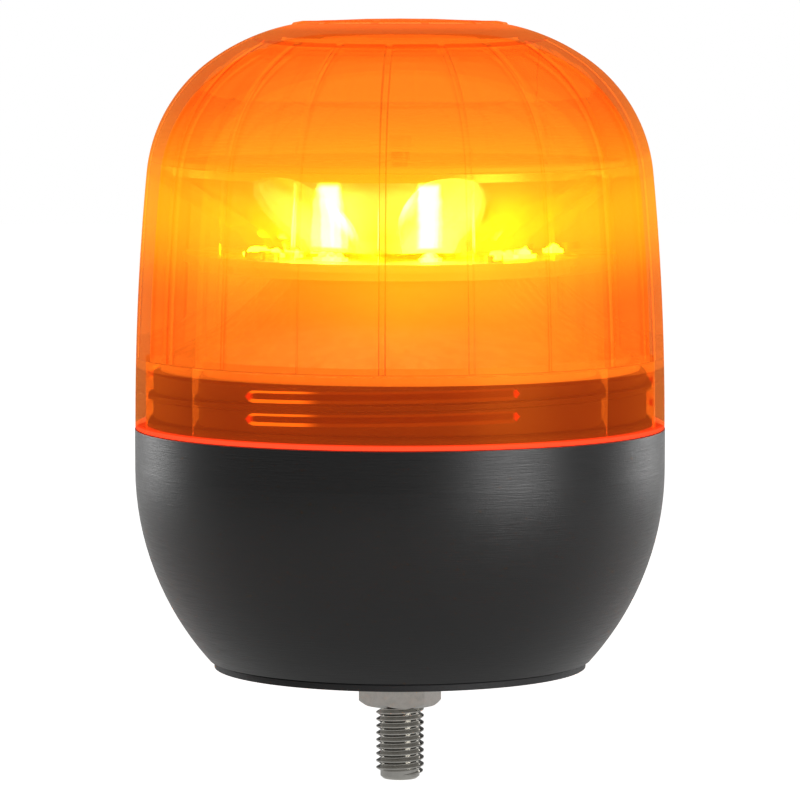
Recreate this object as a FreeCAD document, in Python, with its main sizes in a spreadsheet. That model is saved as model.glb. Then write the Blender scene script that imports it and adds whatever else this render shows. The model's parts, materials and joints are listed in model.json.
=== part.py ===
"""Rotating beacon on a threaded stud: an amber screw-on lens over a motor-driven petal reflector.

Z is the axis of the beacon and of its stud. The origin is the centre of the gasket's underside.
"""
import FreeCAD, Part
import Sketcher
import math
import os
from types import SimpleNamespace

SIZES = [
    # housing
    ("base_rim_radius", 66.2, "largest radius of the base"),
    ("base_foot_radius", 47.9, "radius of the base where it meets the gasket"),
    ("base_belly_height", 50.0, "height where the bowl turns into the upright rim"),
    ("base_rim_height", 60.0, "height of the rim's top face"),
    ("base_foot_height", 2.0, "height of the base's underside"),
    ("base_wall", 3.5, "wall of the bowl"),
    ("floor_thickness", 4.5, "floor of the bowl"),
    ("rim_width", 7.5, "width of the rim's top face, outside the collar's spigot"),
    ("rim_bore_depth", 6.0, "depth of that bore"),
    ("nut_pad_radius", 12.5, "raised seat for the nut"),
    ("nut_pad_drop", 1.0, "how far the nut's seat stands below the foot"),
    ("bolt_boss_radius", 13.0, "boss around the bolt's head"),
    ("bolt_boss_height", 6.5, "height of that boss above the floor"),
    ("column_inset", 17.2, "distance of the screw columns' circle from the rim"),
    ("column_radius", 4.5, "radius of a screw column"),
    ("column_count", 3, "number of screw columns"),
    ("column_turn", 90.0, "angle of the first column from X"),
    ("column_web", 2.5, "thickness of the web from a column to the wall"),
    ("chassis_screw_grip", 10.0, "depth of a chassis screw in its column"),
    # clearances
    ("fit_gap", 0.2, "radial gap of pieces that are put together by hand"),
    ("close_gap", 0.02, "radial gap of pressed or threaded pieces"),
    ("running_gap", 0.05, "radial gap of a shaft in its bush"),
    ("seal_gap", 0.2, "gap between the lens's foot and the base's rim"),
    # mounting
    ("stud_radius", 6.0, "outside radius of the stud's thread"),
    ("stud_pitch_radius", 5.43, "radius of the stud inside its nut"),
    ("stud_tip", 28.5, "depth of the stud's tip below the origin"),
    ("stud_chamfer", 1.2, "chamfer at the stud's tip"),
    ("hex_across_flats", 18.0, "spanner size of bolt and nut"),
    ("head_height", 7.5, "height of the bolt's head"),
    ("nut_height", 10.8, "height of the nut"),
    ("nut_turn", 5.7, "angle of the nut at rest"),
    ("hex_chamfer", 1.0, "height of the turned chamfer on the nut's corners"),
    ("gasket_inner", 24.0, "hole of the base gasket"),
    ("gasket_outer", 46.6, "outside radius of the base gasket"),
    ("gasket_edge", 0.5, "rounding of the gasket's outer edge"),
    ("gasket_rib_inner", 38.0, "inner radius of the gasket's locating rib"),
    ("gasket_rib_outer", 41.0, "outer radius of the gasket's locating rib"),
    ("gasket_rib_height", 1.6, "height of that rib above the gasket"),
    ("cable_ring", 18.6, "distance of the cable's hole from the axis"),
    ("cable_turn", 125.0, "angle of the cable's hole from X"),
    ("cable_hole_radius", 4.0, "hole for the grommet in the floor"),
    ("cable_radius", 3.2, "bore of the grommet"),
    ("grommet_flange", 5.2, "flange radius of the grommet"),
    ("grommet_lip", 1.2, "thickness of the grommet's flanges"),
    # collar
    ("neck_inset", 4.7, "how far the neck for the lens stands in from the rim"),
    ("neck_height", 15.0, "height of the neck above the rim"),
    ("neck_wall", 4.5, "wall of the neck above its ledge"),
    ("neck_ledge", 2.5, "width of the ledge inside the neck"),
    ("neck_ledge_drop", 4.0, "depth of the ledge below the neck's top"),
    ("neck_chamfer", 0.8, "chamfer at the neck's top"),
    ("lug_radius", 6.5, "radius of the collar's screw lugs"),
    ("seal_groove_depth", 1.3, "depth of the seal's groove"),
    ("seal_groove_width", 3.0, "width of the seal's groove"),
    ("seal_section", 1.35, "section radius of the O-ring"),
    ("seal_groove_lift", 0.3, "height of the groove above the rim"),
    # lens
    ("lens_inset", 0.1, "how far the lens's foot stands in from the rim"),
    ("lens_side_curve", 660.0, "radius of the lens's side in section"),
    ("lens_shoulder_height", 120.0, "height of the shoulder curve's centre"),
    ("lens_shoulder_curve", 39.0, "radius of the lens's shoulder in section"),
    ("lens_crown_curve", 52.0, "radius of the lens's crown in section"),
    ("lens_crown_angle", 54.0, "angle where shoulder turns into crown"),
    ("lens_wall", 3.5, "wall of the lens"),
    ("lens_skirt_gap", 1.9, "radial gap between the lens's skirt and the neck"),
    ("lens_skirt_height", 17.6, "height of the ledge above the lens's foot"),
    ("lens_rib_count", 18, "number of ribs inside the lens"),
    ("lens_rib_width", 1.5, "width of a rib"),
    ("lens_rib_depth", 0.9, "how far a rib stands in from the wall"),
    ("lens_rib_turn", 6.0, "angle of the first rib from X"),
    ("lens_ring_reach", 17.4, "distance of the ring where the ribs end from the crown's flat"),
    ("lens_ring_width", 2.0, "width of that ring"),
    ("lens_ring_depth", 1.5, "depth of that ring"),
    ("crest_reach", 7.4, "distance of the raised arcs from the crown's flat"),
    ("crest_width", 2.7, "width of the raised arcs"),
    ("crest_height", 0.4, "height of the raised arcs over the crown's top"),
    ("crest_count", 3, "number of long and of short raised arcs"),
    ("crest_long", 88.0, "angle that a long raised arc covers"),
    ("crest_gap", 4.0, "angle between two raised arcs"),
    ("crest_turn", 30.0, "angle of the first long arc's middle from X"),
    # optics
    ("plate_thickness", 3.0, "chassis plate"),
    ("plate_gap", 0.2, "radial gap of the chassis plate in the neck"),
    ("pedestal_inset", 1.5, "how far the pedestal's flange stands in from the neck"),
    ("pedestal_flange_width", 2.5, "width of the flange outside the pedestal's skirt"),
    ("pedestal_waist", 30.5, "radius of the pedestal's skirt at its top"),
    ("pedestal_step", 4.0, "height of the skirt's foot above the neck"),
    ("pedestal_height", 26.0, "height of the pedestal above the neck"),
    ("pedestal_curve", 80.0, "radius of the skirt in section"),
    ("pedestal_wall", 4.0, "wall of the skirt, measured along its radius"),
    ("pedestal_plate", 2.0, "thickness of the pedestal's flange and top"),
    ("pedestal_top_radius", 43.0, "radius of the pedestal's top"),
    ("pedestal_boss_ring", 24.0, "radius of the circle of pedestal bosses"),
    ("pedestal_boss_radius", 3.5, "radius of a pedestal boss"),
    ("bearing_seat_radius", 8.0, "boss around the upper bearing"),
    ("bearing_radius", 4.5, "outside radius of a bearing bush"),
    ("bearing_flange", 6.5, "flange radius of a bearing bush"),
    ("bearing_flange_height", 1.5, "flange height of a bearing bush"),
    ("bearing_length", 7.0, "length of the upper bearing"),
    ("board_radius", 44.5, "radius of the LED board"),
    ("board_thickness", 2.0, "thickness of the LED board"),
    ("led_ring", 31.5, "radius of the circle of LEDs"),
    ("led_count", 8, "number of LEDs and of reflector cups"),
    ("led_turn", 13.0, "angle of the first LED from X"),
    ("led_side", 3.5, "side of an LED"),
    ("led_height", 0.9, "height of an LED's base"),
    ("led_dome", 1.3, "radius of an LED's emitter"),
    ("board_screw_ring", 39.0, "radius of the circle of LED board screws"),
    ("board_screw_count", 4, "number of LED board screws"),
    ("reflector_lift", 2.0, "gap between the LED board and the reflector"),
    ("reflector_height", 20.0, "height of the reflector"),
    ("reflector_foot", 31.0, "radius of the reflector's foot"),
    ("reflector_knee", 33.0, "radius where the reflector's cone starts"),
    ("reflector_knee_height", 3.0, "height of that place above the foot"),
    ("reflector_inset", 1.3, "how far the reflector's rim stands in from its cap"),
    ("reflector_rim", 2.0, "height of the reflector's rim"),
    ("cup_focal_length", 3.8, "focal length of a reflector cup"),
    ("cup_overrun", 3.0, "how far a cup's paraboloid runs on past the reflector's rim"),
    ("cap_inset", 5.7, "how far the reflector's cap stands in from the neck"),
    ("cap_thickness", 2.0, "thickness of the reflector's cap"),
    # drive
    ("shaft_radius", 2.5, "radius of the rotor's shaft"),
    ("shaft_clearance", 1.0, "radial gap of the shaft in the chassis plate"),
    ("shaft_end", 4.0, "how far the shaft stands out below the gear plate"),
    ("collar_share", 1.7, "outside over inside radius of clip, axle head and axle collar"),
    ("clip_thickness", 1.0, "thickness of the retaining clip"),
    ("disc_gap", 0.5, "gap between the screw columns and the discs inside them"),
    ("gear_plate_thickness", 2.0, "thickness of the gear plate"),
    ("pillar_height", 17.5, "length of the pillars between the plates"),
    ("pillar_radius", 3.0, "radius of a pillar"),
    ("pillar_inset", 4.0, "distance of the pillars' circle from the gear plate's edge"),
    ("drive_room", 44.0, "radius of the gear plate that gears and motor are drawn for"),
    ("output_module", 0.6, "module of the output stage"),
    ("output_teeth", 80, "teeth of the output gear"),
    ("output_pinion_teeth", 16, "teeth of the compound gear's pinion"),
    ("output_width", 4.0, "face width of the output gear"),
    ("input_module", 0.5, "module of the input stage"),
    ("input_teeth", 75, "teeth of the compound gear's wheel"),
    ("input_pinion_teeth", 15, "teeth of the motor's pinion"),
    ("input_width", 3.5, "face width of the compound gear's wheel"),
    ("input_turn", 120.0, "direction from the compound gear to the motor"),
    ("pressure_angle", 20.0, "pressure angle of the teeth"),
    ("tooth_root", 1.15, "depth of a tooth's root below the pitch circle, in modules"),
    ("tooth_knee", 0.4, "depth where a flank bends, in modules"),
    ("tooth_tip", 0.85, "height of a tooth above the pitch circle, in modules"),
    ("gear_backlash", 0.07, "what each tooth is thinned by at the pitch circle"),
    ("gear_lift", 1.0, "height of the lowest wheel above the bush's flange"),
    ("stage_gap", 2.5, "gap between the two wheels"),
    ("pinion_overlap", 0.5, "how far a pinion is wider than its wheel, at each side"),
    ("window_count", 6, "number of windows in the output gear"),
    ("window_ring", 13.4, "radius of the circle of windows"),
    ("window_radius", 4.8, "radius of a window"),
    ("axle_radius", 1.5, "radius of the compound gear's axle"),
    ("axle_head_height", 0.8, "height of the axle's head"),
    ("axial_play", 0.15, "axial gap of what turns"),
    ("motor_radius", 12.0, "radius of the motor"),
    ("motor_clearance", 4.4, "gap between the motor and the control board"),
    ("motor_edge", 1.0, "chamfer of the motor's can"),
    ("motor_tap_depth", 5.25, "depth of the motor's tapped holes"),
    ("motor_shaft_depth", 3.5, "depth of the motor's shaft in its nose"),
    ("motor_nose_radius", 3.5, "radius of the motor's nose"),
    ("motor_shaft_radius", 1.0, "radius of the motor's shaft"),
    ("motor_screw_ring", 8.5, "radius of the motor's screws about its shaft"),
    # electronics
    ("circuit_thickness", 1.6, "thickness of the control board"),
    ("standoff_height", 10.5, "height of a standoff"),
    ("standoff_radius", 3.0, "radius of a standoff"),
    ("standoff_inset", 8.0, "distance of the standoffs' circle from the board's edge"),
    ("terminal_length", 16.0, "length of the terminal block"),
    ("terminal_width", 9.0, "width of the terminal block"),
    ("terminal_height", 10.0, "height of the terminal block"),
    ("terminal_inset", 17.4, "distance of the terminal block from the board's edge"),
    ("terminal_poles", 2, "number of poles of the terminal block"),
    ("terminal_well_radius", 1.8, "radius of the well over a terminal's screw"),
    ("terminal_well_depth", 4.0, "depth of that well"),
    ("terminal_mouth_side", 3.6, "side of the square mouth for a wire"),
    ("terminal_mouth_depth", 4.5, "depth of that mouth"),
    ("terminal_mouth_lift", 1.25, "height of that mouth above the board"),
    ("capacitor_radius", 5.0, "radius of the capacitor"),
    ("capacitor_height", 12.0, "height of the capacitor"),
    ("capacitor_waist", 2.0, "height of its crimped waist"),
    ("capacitor_groove", 0.5, "depth of its crimped waist"),
    # screws
    ("large_screw_radius", 2.0, "shank of the chassis screws"),
    ("small_screw_radius", 1.25, "shank of the other screws"),
    ("screw_head_share", 1.9, "head radius over shank radius"),
    ("screw_head_height", 1.8, "height of a screw's head"),
    ("tap_depth", 10.5, "depth of the tapped holes for small screws"),
    ("screw_end_gap", 0.5, "depth of a screw's hole past its tip"),
]

doc = FreeCAD.newDocument("beacon")
sheet = doc.addObject("Spreadsheet::Sheet", "Sizes")


class Size:
    """A length known twice: as a number, and as the same sum written on the sheet's cells."""

    def __init__(self, value, text):
        self.value = float(value)
        self.text = text

    def __add__(self, other):
        other = as_size(other)
        return Size(self.value + other.value, f"({self.text} + {other.text})")

    def __sub__(self, other):
        other = as_size(other)
        return Size(self.value - other.value, f"({self.text} - {other.text})")

    def __mul__(self, other):
        other = as_size(other)
        return Size(self.value * other.value, f"({self.text} * {other.text})")

    def __truediv__(self, other):
        other = as_size(other)
        return Size(self.value / other.value, f"({self.text} / {other.text})")

    def __neg__(self):
        return Size(-self.value, f"(-1 * {self.text})")

    def __radd__(self, other):
        return as_size(other) + self

    def __rsub__(self, other):
        return as_size(other) - self

    def __rmul__(self, other):
        return as_size(other) * self

    def __rtruediv__(self, other):
        return as_size(other) / self


def as_size(number):
    """A plain number as a Size."""
    return number if isinstance(number, Size) else Size(number, repr(float(number)))


def root(size):
    """Square root of a Size."""
    return Size(math.sqrt(size.value), f"sqrt({size.text})")


def cosine(angle):
    """Cosine of an angle in degrees."""
    angle = as_size(angle)
    return Size(math.cos(math.radians(angle.value)), f"cos({angle.text})")


def sine(angle):
    """Sine of an angle in degrees."""
    angle = as_size(angle)
    return Size(math.sin(math.radians(angle.value)), f"sin({angle.text})")


def whole(size):
    """A Size as a whole number of copies."""
    return int(round(size.value))


def numbers(size):
    """The numbers of copies, from 1."""
    return range(1, whole(size) + 1)


def polar(ring, angle):
    """X and Y of a point on a ring."""
    return ring * cosine(angle), ring * sine(angle)


def read_sizes():
    """Fill the sheet and return its cells by name."""
    cells = SimpleNamespace()
    for row, (alias, number, meaning) in enumerate(SIZES, 1):
        sheet.set(f"A{row}", alias)
        sheet.set(f"B{row}", str(number))
        sheet.set(f"C{row}", meaning)
        sheet.setAlias(f"B{row}", alias)
        setattr(cells, alias, Size(number, f"Sizes.{alias}"))
    doc.recompute()
    return cells


# ---------------------------------------------------------------- sketches and features


def bind(item, path, size):
    """Bind one property of an object to the sheet."""
    item.setExpression(path, as_size(size).text)


def new_body(name):
    """An empty body."""
    body = doc.addObject("PartDesign::Body", name)
    body.Label = name
    return body


def origin_plane(body, role):
    """One of the body's own origin planes."""
    for feature in body.Origin.OriginFeatures:
        if feature.Role == role:
            return feature
    raise ValueError(role)


def new_sketch(body, role, lift=None, turn=None):
    """A sketch on an origin plane, lifted along its normal, or turned about the beacon's axis."""
    sketch = body.newObject("Sketcher::SketchObject", f"{body.Name}_sketch")
    sketch.AttachmentSupport = [(origin_plane(body, role), "")]
    sketch.MapMode = "FlatFace"
    if lift is not None:
        sketch.AttachmentOffset = FreeCAD.Placement(FreeCAD.Vector(0, 0, lift.value), FreeCAD.Rotation())
        bind(sketch, "AttachmentOffset.Base.z", lift)
    if turn is not None:
        spin = FreeCAD.Rotation(FreeCAD.Vector(0, 1, 0), turn.value)
        sketch.AttachmentOffset = FreeCAD.Placement(FreeCAD.Vector(), spin)
        bind(sketch, "AttachmentOffset.Rotation.Angle", turn)
    return sketch


def pin_coordinate(sketch, kind, corner, size):
    """Hold one coordinate of a corner to its Size."""
    size = as_size(size)
    axis = -2 if kind == "DistanceX" else -1
    if abs(size.value) < 1e-9:
        sketch.addConstraint(Sketcher.Constraint("PointOnObject", *corner, axis))
        return
    ends = (-1, 1, *corner)
    if size.value < 0:
        ends = (*corner, -1, 1)
        size = -size
    index = sketch.addConstraint(Sketcher.Constraint(kind, *ends, size.value))
    bind(sketch, f"Constraints[{index}]", size)


def arc_between(start, end, radius):
    """The short arc from start to end; a negative radius turns clockwise."""
    along = end - start
    half = along.Length / 2
    left = FreeCAD.Vector(-along.y, along.x, 0) / along.Length
    side = 1 if radius > 0 else -1
    centre = (start + end) / 2 + left * side * math.sqrt(radius * radius - half * half)
    first, last = (start, end) if radius > 0 else (end, start)
    angles = [math.atan2(point.y - centre.y, point.x - centre.x) for point in (first, last)]
    if angles[1] < angles[0]:
        angles[1] += 2 * math.pi
    return Part.ArcOfCircle(Part.Circle(centre, FreeCAD.Vector(0, 0, 1), abs(radius)), *angles)


def draw_outline(sketch, corners, arcs=None):
    """Draw a closed outline. arcs gives, by the number of the corner it starts at, an arc's radius."""
    arcs = arcs or {}
    points = [FreeCAD.Vector(as_size(x).value, as_size(y).value, 0) for x, y in corners]
    count = len(points)
    starts = []
    ends = []
    for index in range(count):
        start = points[index]
        end = points[(index + 1) % count]
        if index in arcs:
            edge = sketch.addGeometry(arc_between(start, end, arcs[index].value), False)
            clockwise = arcs[index].value < 0
            starts.append((edge, 2 if clockwise else 1))
            ends.append((edge, 1 if clockwise else 2))
        else:
            edge = sketch.addGeometry(Part.LineSegment(start, end), False)
            starts.append((edge, 1))
            ends.append((edge, 2))
    for index in range(count):
        sketch.addConstraint(Sketcher.Constraint("Coincident", *ends[index - 1], *starts[index]))
    for index, (x, y) in enumerate(corners):
        pin_coordinate(sketch, "DistanceX", starts[index], x)
        pin_coordinate(sketch, "DistanceY", starts[index], y)
    for index, radius in arcs.items():
        size = radius if radius.value > 0 else -radius
        number = sketch.addConstraint(Sketcher.Constraint("Radius", starts[index][0], size.value))
        bind(sketch, f"Constraints[{number}]", size)


def draw_circle(sketch, x, y, radius):
    """Draw one circle."""
    centre = FreeCAD.Vector(as_size(x).value, as_size(y).value, 0)
    edge = sketch.addGeometry(Part.Circle(centre, FreeCAD.Vector(0, 0, 1), radius.value), False)
    pin_coordinate(sketch, "DistanceX", (edge, 3), x)
    pin_coordinate(sketch, "DistanceY", (edge, 3), y)
    number = sketch.addConstraint(Sketcher.Constraint("Radius", edge, radius.value))
    bind(sketch, f"Constraints[{number}]", radius)


def revolve(body, corners, arcs=None, sweep=None, turn=None):
    """Turn an outline in radius and height about the beacon's axis and add it to the body."""
    sketch = new_sketch(body, "XZ_Plane", turn=turn)
    draw_outline(sketch, corners, arcs)
    feature = body.newObject("PartDesign::Revolution", f"{body.Name}_turning")
    feature.Profile = sketch
    feature.ReferenceAxis = (sketch, ["V_Axis"])
    feature.Angle = 360
    if sweep is not None:
        feature.Midplane = True
        bind(feature, "Angle", sweep)
    doc.recompute()
    return feature


def turned(name, corners, arcs=None):
    """A body that is one turned piece."""
    body = new_body(name)
    revolve(body, corners, arcs)
    return body


def pad(body, sketch, height, both_sides=False):
    """Raise a sketch."""
    feature = body.newObject("PartDesign::Pad", f"{body.Name}_pad")
    feature.Profile = sketch
    feature.Midplane = both_sides
    bind(feature, "Length", height)
    doc.recompute()
    return feature


def pocket(body, sketch, depth):
    """Cut a sketch downwards from its plane."""
    before = body.Shape.Volume
    feature = body.newObject("PartDesign::Pocket", f"{body.Name}_pocket")
    feature.Profile = sketch
    bind(feature, "Length", depth)
    doc.recompute()
    if body.Shape.Volume >= before - 1e-6:
        raise ValueError(f"{body.Name}: a pocket cuts nothing")
    return feature


def around(body, feature, count):
    """Repeat a feature evenly about the beacon's axis."""
    pattern = body.newObject("PartDesign::PolarPattern", f"{body.Name}_pattern")
    pattern.Originals = [feature]
    pattern.Axis = (origin_plane(body, "Z_Axis"), [""])
    pattern.Angle = 360
    bind(pattern, "Occurrences", count)
    body.Tip = pattern
    doc.recompute()
    return pattern


def columns(body, ring, angle, radius, bottom, height, count):
    """Upright round columns, evenly about the axis."""
    sketch = new_sketch(body, "XY_Plane", lift=bottom)
    draw_circle(sketch, *polar(ring, angle), radius)
    around(body, pad(body, sketch, height), count)


def holes(body, ring, angle, radius, top, depth, count):
    """Holes cut downwards, evenly about the axis."""
    sketch = new_sketch(body, "XY_Plane", lift=top)
    draw_circle(sketch, *polar(ring, angle), radius)
    around(body, pocket(body, sketch, depth), count)


def hexagon(across_flats, turn=0):
    """Corners of a hexagon about the axis."""
    corner = across_flats / root(as_size(3))
    return [polar(corner, as_size(turn) + 60 * step) for step in range(6)]


# ---------------------------------------------------------------- primitives


def place(item, x=0, y=0, z=0, turn=None):
    """Bind the place of an object."""
    for axis, size in (("x", x), ("y", y), ("z", z)):
        bind(item, f"Placement.Base.{axis}", size)
    if turn is not None:
        spin = FreeCAD.Rotation(FreeCAD.Vector(0, 0, 1), as_size(turn).value)
        item.Placement = FreeCAD.Placement(FreeCAD.Vector(), spin)
        bind(item, "Placement.Rotation.Angle", turn)


def cylinder(name, radius, height, x=0, y=0, z=0):
    """An upright cylinder."""
    item = doc.addObject("Part::Cylinder", name)
    bind(item, "Radius", radius)
    bind(item, "Height", height)
    place(item, x, y, z)
    return item


def fuse(name, items):
    """Several pieces made one."""
    item = doc.addObject("Part::MultiFuse", name)
    item.Shapes = items
    item.Label = name
    return item


def cut(name, base, tools):
    """A piece less its tools."""
    item = doc.addObject("Part::Cut", name)
    item.Base = base
    item.Tool = tools[0] if len(tools) == 1 else fuse(f"{name}_tools", tools)
    item.Label = name
    return item


def disc(name, radius, thickness, height, drillings):
    """A flat disc with round holes, each given as radius, x and y."""
    blank = cylinder(f"{name}_blank", radius, thickness, z=height)
    tools = []
    for number, (hole, x, y) in enumerate(drillings, 1):
        below = height - thickness
        tools.append(cylinder(f"{name}_hole_{number}", hole, thickness * 3, x, y, below))
    return cut(name, blank, tools)


def tube(name, radius, length, x, y, z):
    """An upright round post with a bore for a small screw."""
    blank = cylinder(f"{name}_blank", radius, length, x, y, z)
    bore = cylinder(f"{name}_bore", s.small_screw_radius + s.running_gap, length, x, y, z)
    return cut(name, blank, [bore])


def screw(name, radius, length, x, y, z, head_up=True):
    """A cheese-head screw whose head seats at height z."""
    head_height = s.screw_head_height
    head_z = as_size(0) if head_up else -head_height
    shank_z = -length if head_up else as_size(0)
    head = cylinder(f"{name}_head", radius * s.screw_head_share, head_height, z=head_z)
    shank = cylinder(f"{name}_shank", radius, length, z=shank_z)
    item = fuse(name, [head, shank])
    place(item, x, y, z)
    return item


def bush(name, top, length):
    """A flanged bearing bush whose flange rests at height top."""
    bore = s.shaft_radius + s.running_gap
    outside = s.bearing_radius - s.close_gap
    flange_top = top + s.bearing_flange_height
    corners = [
        (bore, top - length),
        (outside, top - length),
        (outside, top),
        (s.bearing_flange, top),
        (s.bearing_flange, flange_top),
        (bore, flange_top),
    ]
    return turned(name, corners)


# ---------------------------------------------------------------- places that pieces share

# three pillars about the axis, clear of the motor's screws and of the axle
PILLAR_ANGLES = (62, 150, 270)

s = read_sizes()
sheet.recompute()

neck_radius = s.base_rim_radius - s.neck_inset
neck_bore = neck_radius - s.neck_wall
ledge_bore = neck_bore - s.neck_ledge
rim_bore = s.base_rim_radius - s.rim_width
groove_bottom = neck_radius - s.seal_groove_depth
column_ring = s.base_rim_radius - s.column_inset
disc_radius = column_ring - s.column_radius - s.disc_gap
pillar_ring = disc_radius - s.pillar_inset
standoff_ring = disc_radius - s.standoff_inset
cap_radius = neck_radius - s.cap_inset
reflector_edge = cap_radius - s.reflector_inset

bowl_run = s.base_rim_radius - s.base_foot_radius
bowl_rise = s.base_belly_height - s.base_foot_height
bowl_curve = (bowl_run * bowl_run + bowl_rise * bowl_rise) / (2 * bowl_run)
bowl_centre = s.base_rim_radius - bowl_curve
floor_top = s.base_foot_height + s.floor_thickness
rim_bottom = s.base_rim_height - s.rim_bore_depth
nut_top = s.base_foot_height - s.nut_pad_drop
neck_top = s.base_rim_height + s.neck_height
ledge_top = neck_top - s.neck_ledge_drop
plate_top = ledge_top + s.plate_thickness
pedestal_top = neck_top + s.pedestal_height
board_top = pedestal_top + s.board_thickness
reflector_foot = board_top + s.reflector_lift
reflector_top = reflector_foot + s.reflector_height
cap_top = reflector_top + s.cap_thickness
gear_plate_top = ledge_top - s.pillar_height
gear_plate_bottom = gear_plate_top - s.gear_plate_thickness
circuit_bottom = floor_top + s.standoff_height
circuit_top = circuit_bottom + s.circuit_thickness

# gears and motor grow with the plate that carries them
drive_scale = disc_radius / s.drive_room
output_module = s.output_module * drive_scale
input_module = s.input_module * drive_scale
motor_radius = s.motor_radius * drive_scale
output_radius = output_module * s.output_teeth / 2
output_pinion = output_module * s.output_pinion_teeth / 2
input_radius = input_module * s.input_teeth / 2
input_pinion = input_module * s.input_pinion_teeth / 2
axle_x = output_radius + output_pinion
motor_reach = input_radius + input_pinion
motor_x = axle_x + motor_reach * cosine(s.input_turn)
motor_y = motor_reach * sine(s.input_turn)

input_bottom = gear_plate_top + s.bearing_flange_height + s.gear_lift
input_top = input_bottom + s.input_width
output_bottom = input_top + s.stage_gap
output_top = output_bottom + s.output_width

large_hole = s.large_screw_radius + s.running_gap
small_hole = s.small_screw_radius + s.running_gap


def post_angle(number):
    """Angle of one of the places that share the screw columns' spacing."""
    return s.column_turn + 360 / s.column_count * (number - 1)


def led_angle(number):
    """Angle of one LED and of its cup."""
    return s.led_turn + 360 / s.led_count * (number - 1)


def board_screw_angle(number):
    """Angle of one screw of the LED board, midway between two LEDs."""
    return led_angle(1.5) + 360 / s.board_screw_count * (number - 1)


# ---------------------------------------------------------------- housing


def base_housing():
    """Turned bowl with a nut pad below, a hex pocket for the bolt and three screw columns."""
    body = new_body("base_housing")
    inner_curve = bowl_curve - s.base_wall
    floor_rise = s.base_belly_height - floor_top
    floor_radius = bowl_centre + root(inner_curve * inner_curve - floor_rise * floor_rise)
    bolt_hole = s.stud_radius + s.fit_gap
    groove_in = s.gasket_rib_inner - s.fit_gap
    groove_out = s.gasket_rib_outer + s.fit_gap
    groove_top = s.base_foot_height + s.gasket_rib_height + s.fit_gap
    boss_top = floor_top + s.bolt_boss_height
    corners = [
        (bolt_hole, nut_top),
        (s.nut_pad_radius, nut_top),
        (s.nut_pad_radius, s.base_foot_height),
        (groove_in, s.base_foot_height),
        (groove_in, groove_top),
        (groove_out, groove_top),
        (groove_out, s.base_foot_height),
        (s.base_foot_radius, s.base_foot_height),
        (s.base_rim_radius, s.base_belly_height),
        (s.base_rim_radius, s.base_rim_height),
        (rim_bore, s.base_rim_height),
        (rim_bore, rim_bottom),
        (s.base_rim_radius - s.base_wall, s.base_belly_height),
        (floor_radius, floor_top),
        (s.bolt_boss_radius, floor_top),
        (s.bolt_boss_radius, boss_top),
        (bolt_hole, boss_top),
    ]
    revolve(body, corners, {7: bowl_curve, 12: -inner_curve})
    middle = s.base_wall / 2
    middle_curve = bowl_curve - middle
    column_side = column_ring + s.column_radius - bowl_centre
    column_foot = s.base_belly_height - root(middle_curve * middle_curve - column_side * column_side)
    column = (body, column_ring, s.column_turn)
    columns(*column, s.column_radius, column_foot, rim_bottom - column_foot, s.column_count)
    web_rise = floor_rise + middle
    web_foot = bowl_centre + root(middle_curve * middle_curve - web_rise * web_rise)
    web = [
        (column_ring, floor_top - middle),
        (web_foot, floor_top - middle),
        (s.base_rim_radius - middle, s.base_belly_height),
        (s.base_rim_radius - middle, rim_bottom),
        (column_ring, rim_bottom),
    ]
    sketch = new_sketch(body, "XZ_Plane", turn=s.column_turn)
    draw_outline(sketch, web, {1: middle_curve})
    around(body, pad(body, sketch, s.column_web, both_sides=True), s.column_count)
    hole_depth = s.chassis_screw_grip + s.screw_end_gap
    holes(*column, large_hole, rim_bottom, hole_depth, s.column_count)
    recess = new_sketch(body, "XY_Plane", lift=boss_top)
    draw_outline(recess, hexagon(s.hex_across_flats + s.fit_gap))
    pocket(body, recess, s.bolt_boss_height)
    cable = new_sketch(body, "XY_Plane", lift=floor_top)
    draw_circle(cable, *polar(s.cable_ring, s.cable_turn), s.cable_hole_radius)
    pocket(body, cable, s.floor_thickness)
    posts = (body, standoff_ring, s.column_turn)
    holes(*posts, small_hole, floor_top, s.floor_thickness / 2, s.column_count)
    return body


def thread_collar():
    """Neck for the lens: spigot below, seal groove, ledge for the chassis and three screw lugs."""
    body = new_body("thread_collar")
    spigot = rim_bore - s.fit_gap
    groove_low = s.base_rim_height + s.seal_groove_lift
    groove_high = groove_low + s.seal_groove_width
    corners = [
        (ledge_bore, rim_bottom),
        (spigot, rim_bottom),
        (spigot, s.base_rim_height),
        (neck_radius, s.base_rim_height),
        (neck_radius, groove_low),
        (groove_bottom, groove_low),
        (groove_bottom, groove_high),
        (neck_radius, groove_high),
        (neck_radius, neck_top - s.neck_chamfer),
        (neck_radius - s.neck_chamfer, neck_top),
        (neck_bore, neck_top),
        (neck_bore, ledge_top),
        (ledge_bore, ledge_top),
    ]
    revolve(body, corners)
    lug = (body, column_ring, s.column_turn)
    columns(*lug, s.lug_radius, rim_bottom, ledge_top - rim_bottom, s.column_count)
    holes(*lug, large_hole, ledge_top, ledge_top - rim_bottom, s.column_count)
    return body


def lens_seal():
    """O-ring in the collar's groove."""
    item = doc.addObject("Part::Torus", "lens_seal")
    reach = groove_bottom + s.fit_gap + s.seal_section
    height = s.base_rim_height + s.seal_groove_lift + s.seal_groove_width / 2
    bind(item, "Radius1", reach)
    bind(item, "Radius2", s.seal_section)
    place(item, z=height)
    return item


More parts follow.
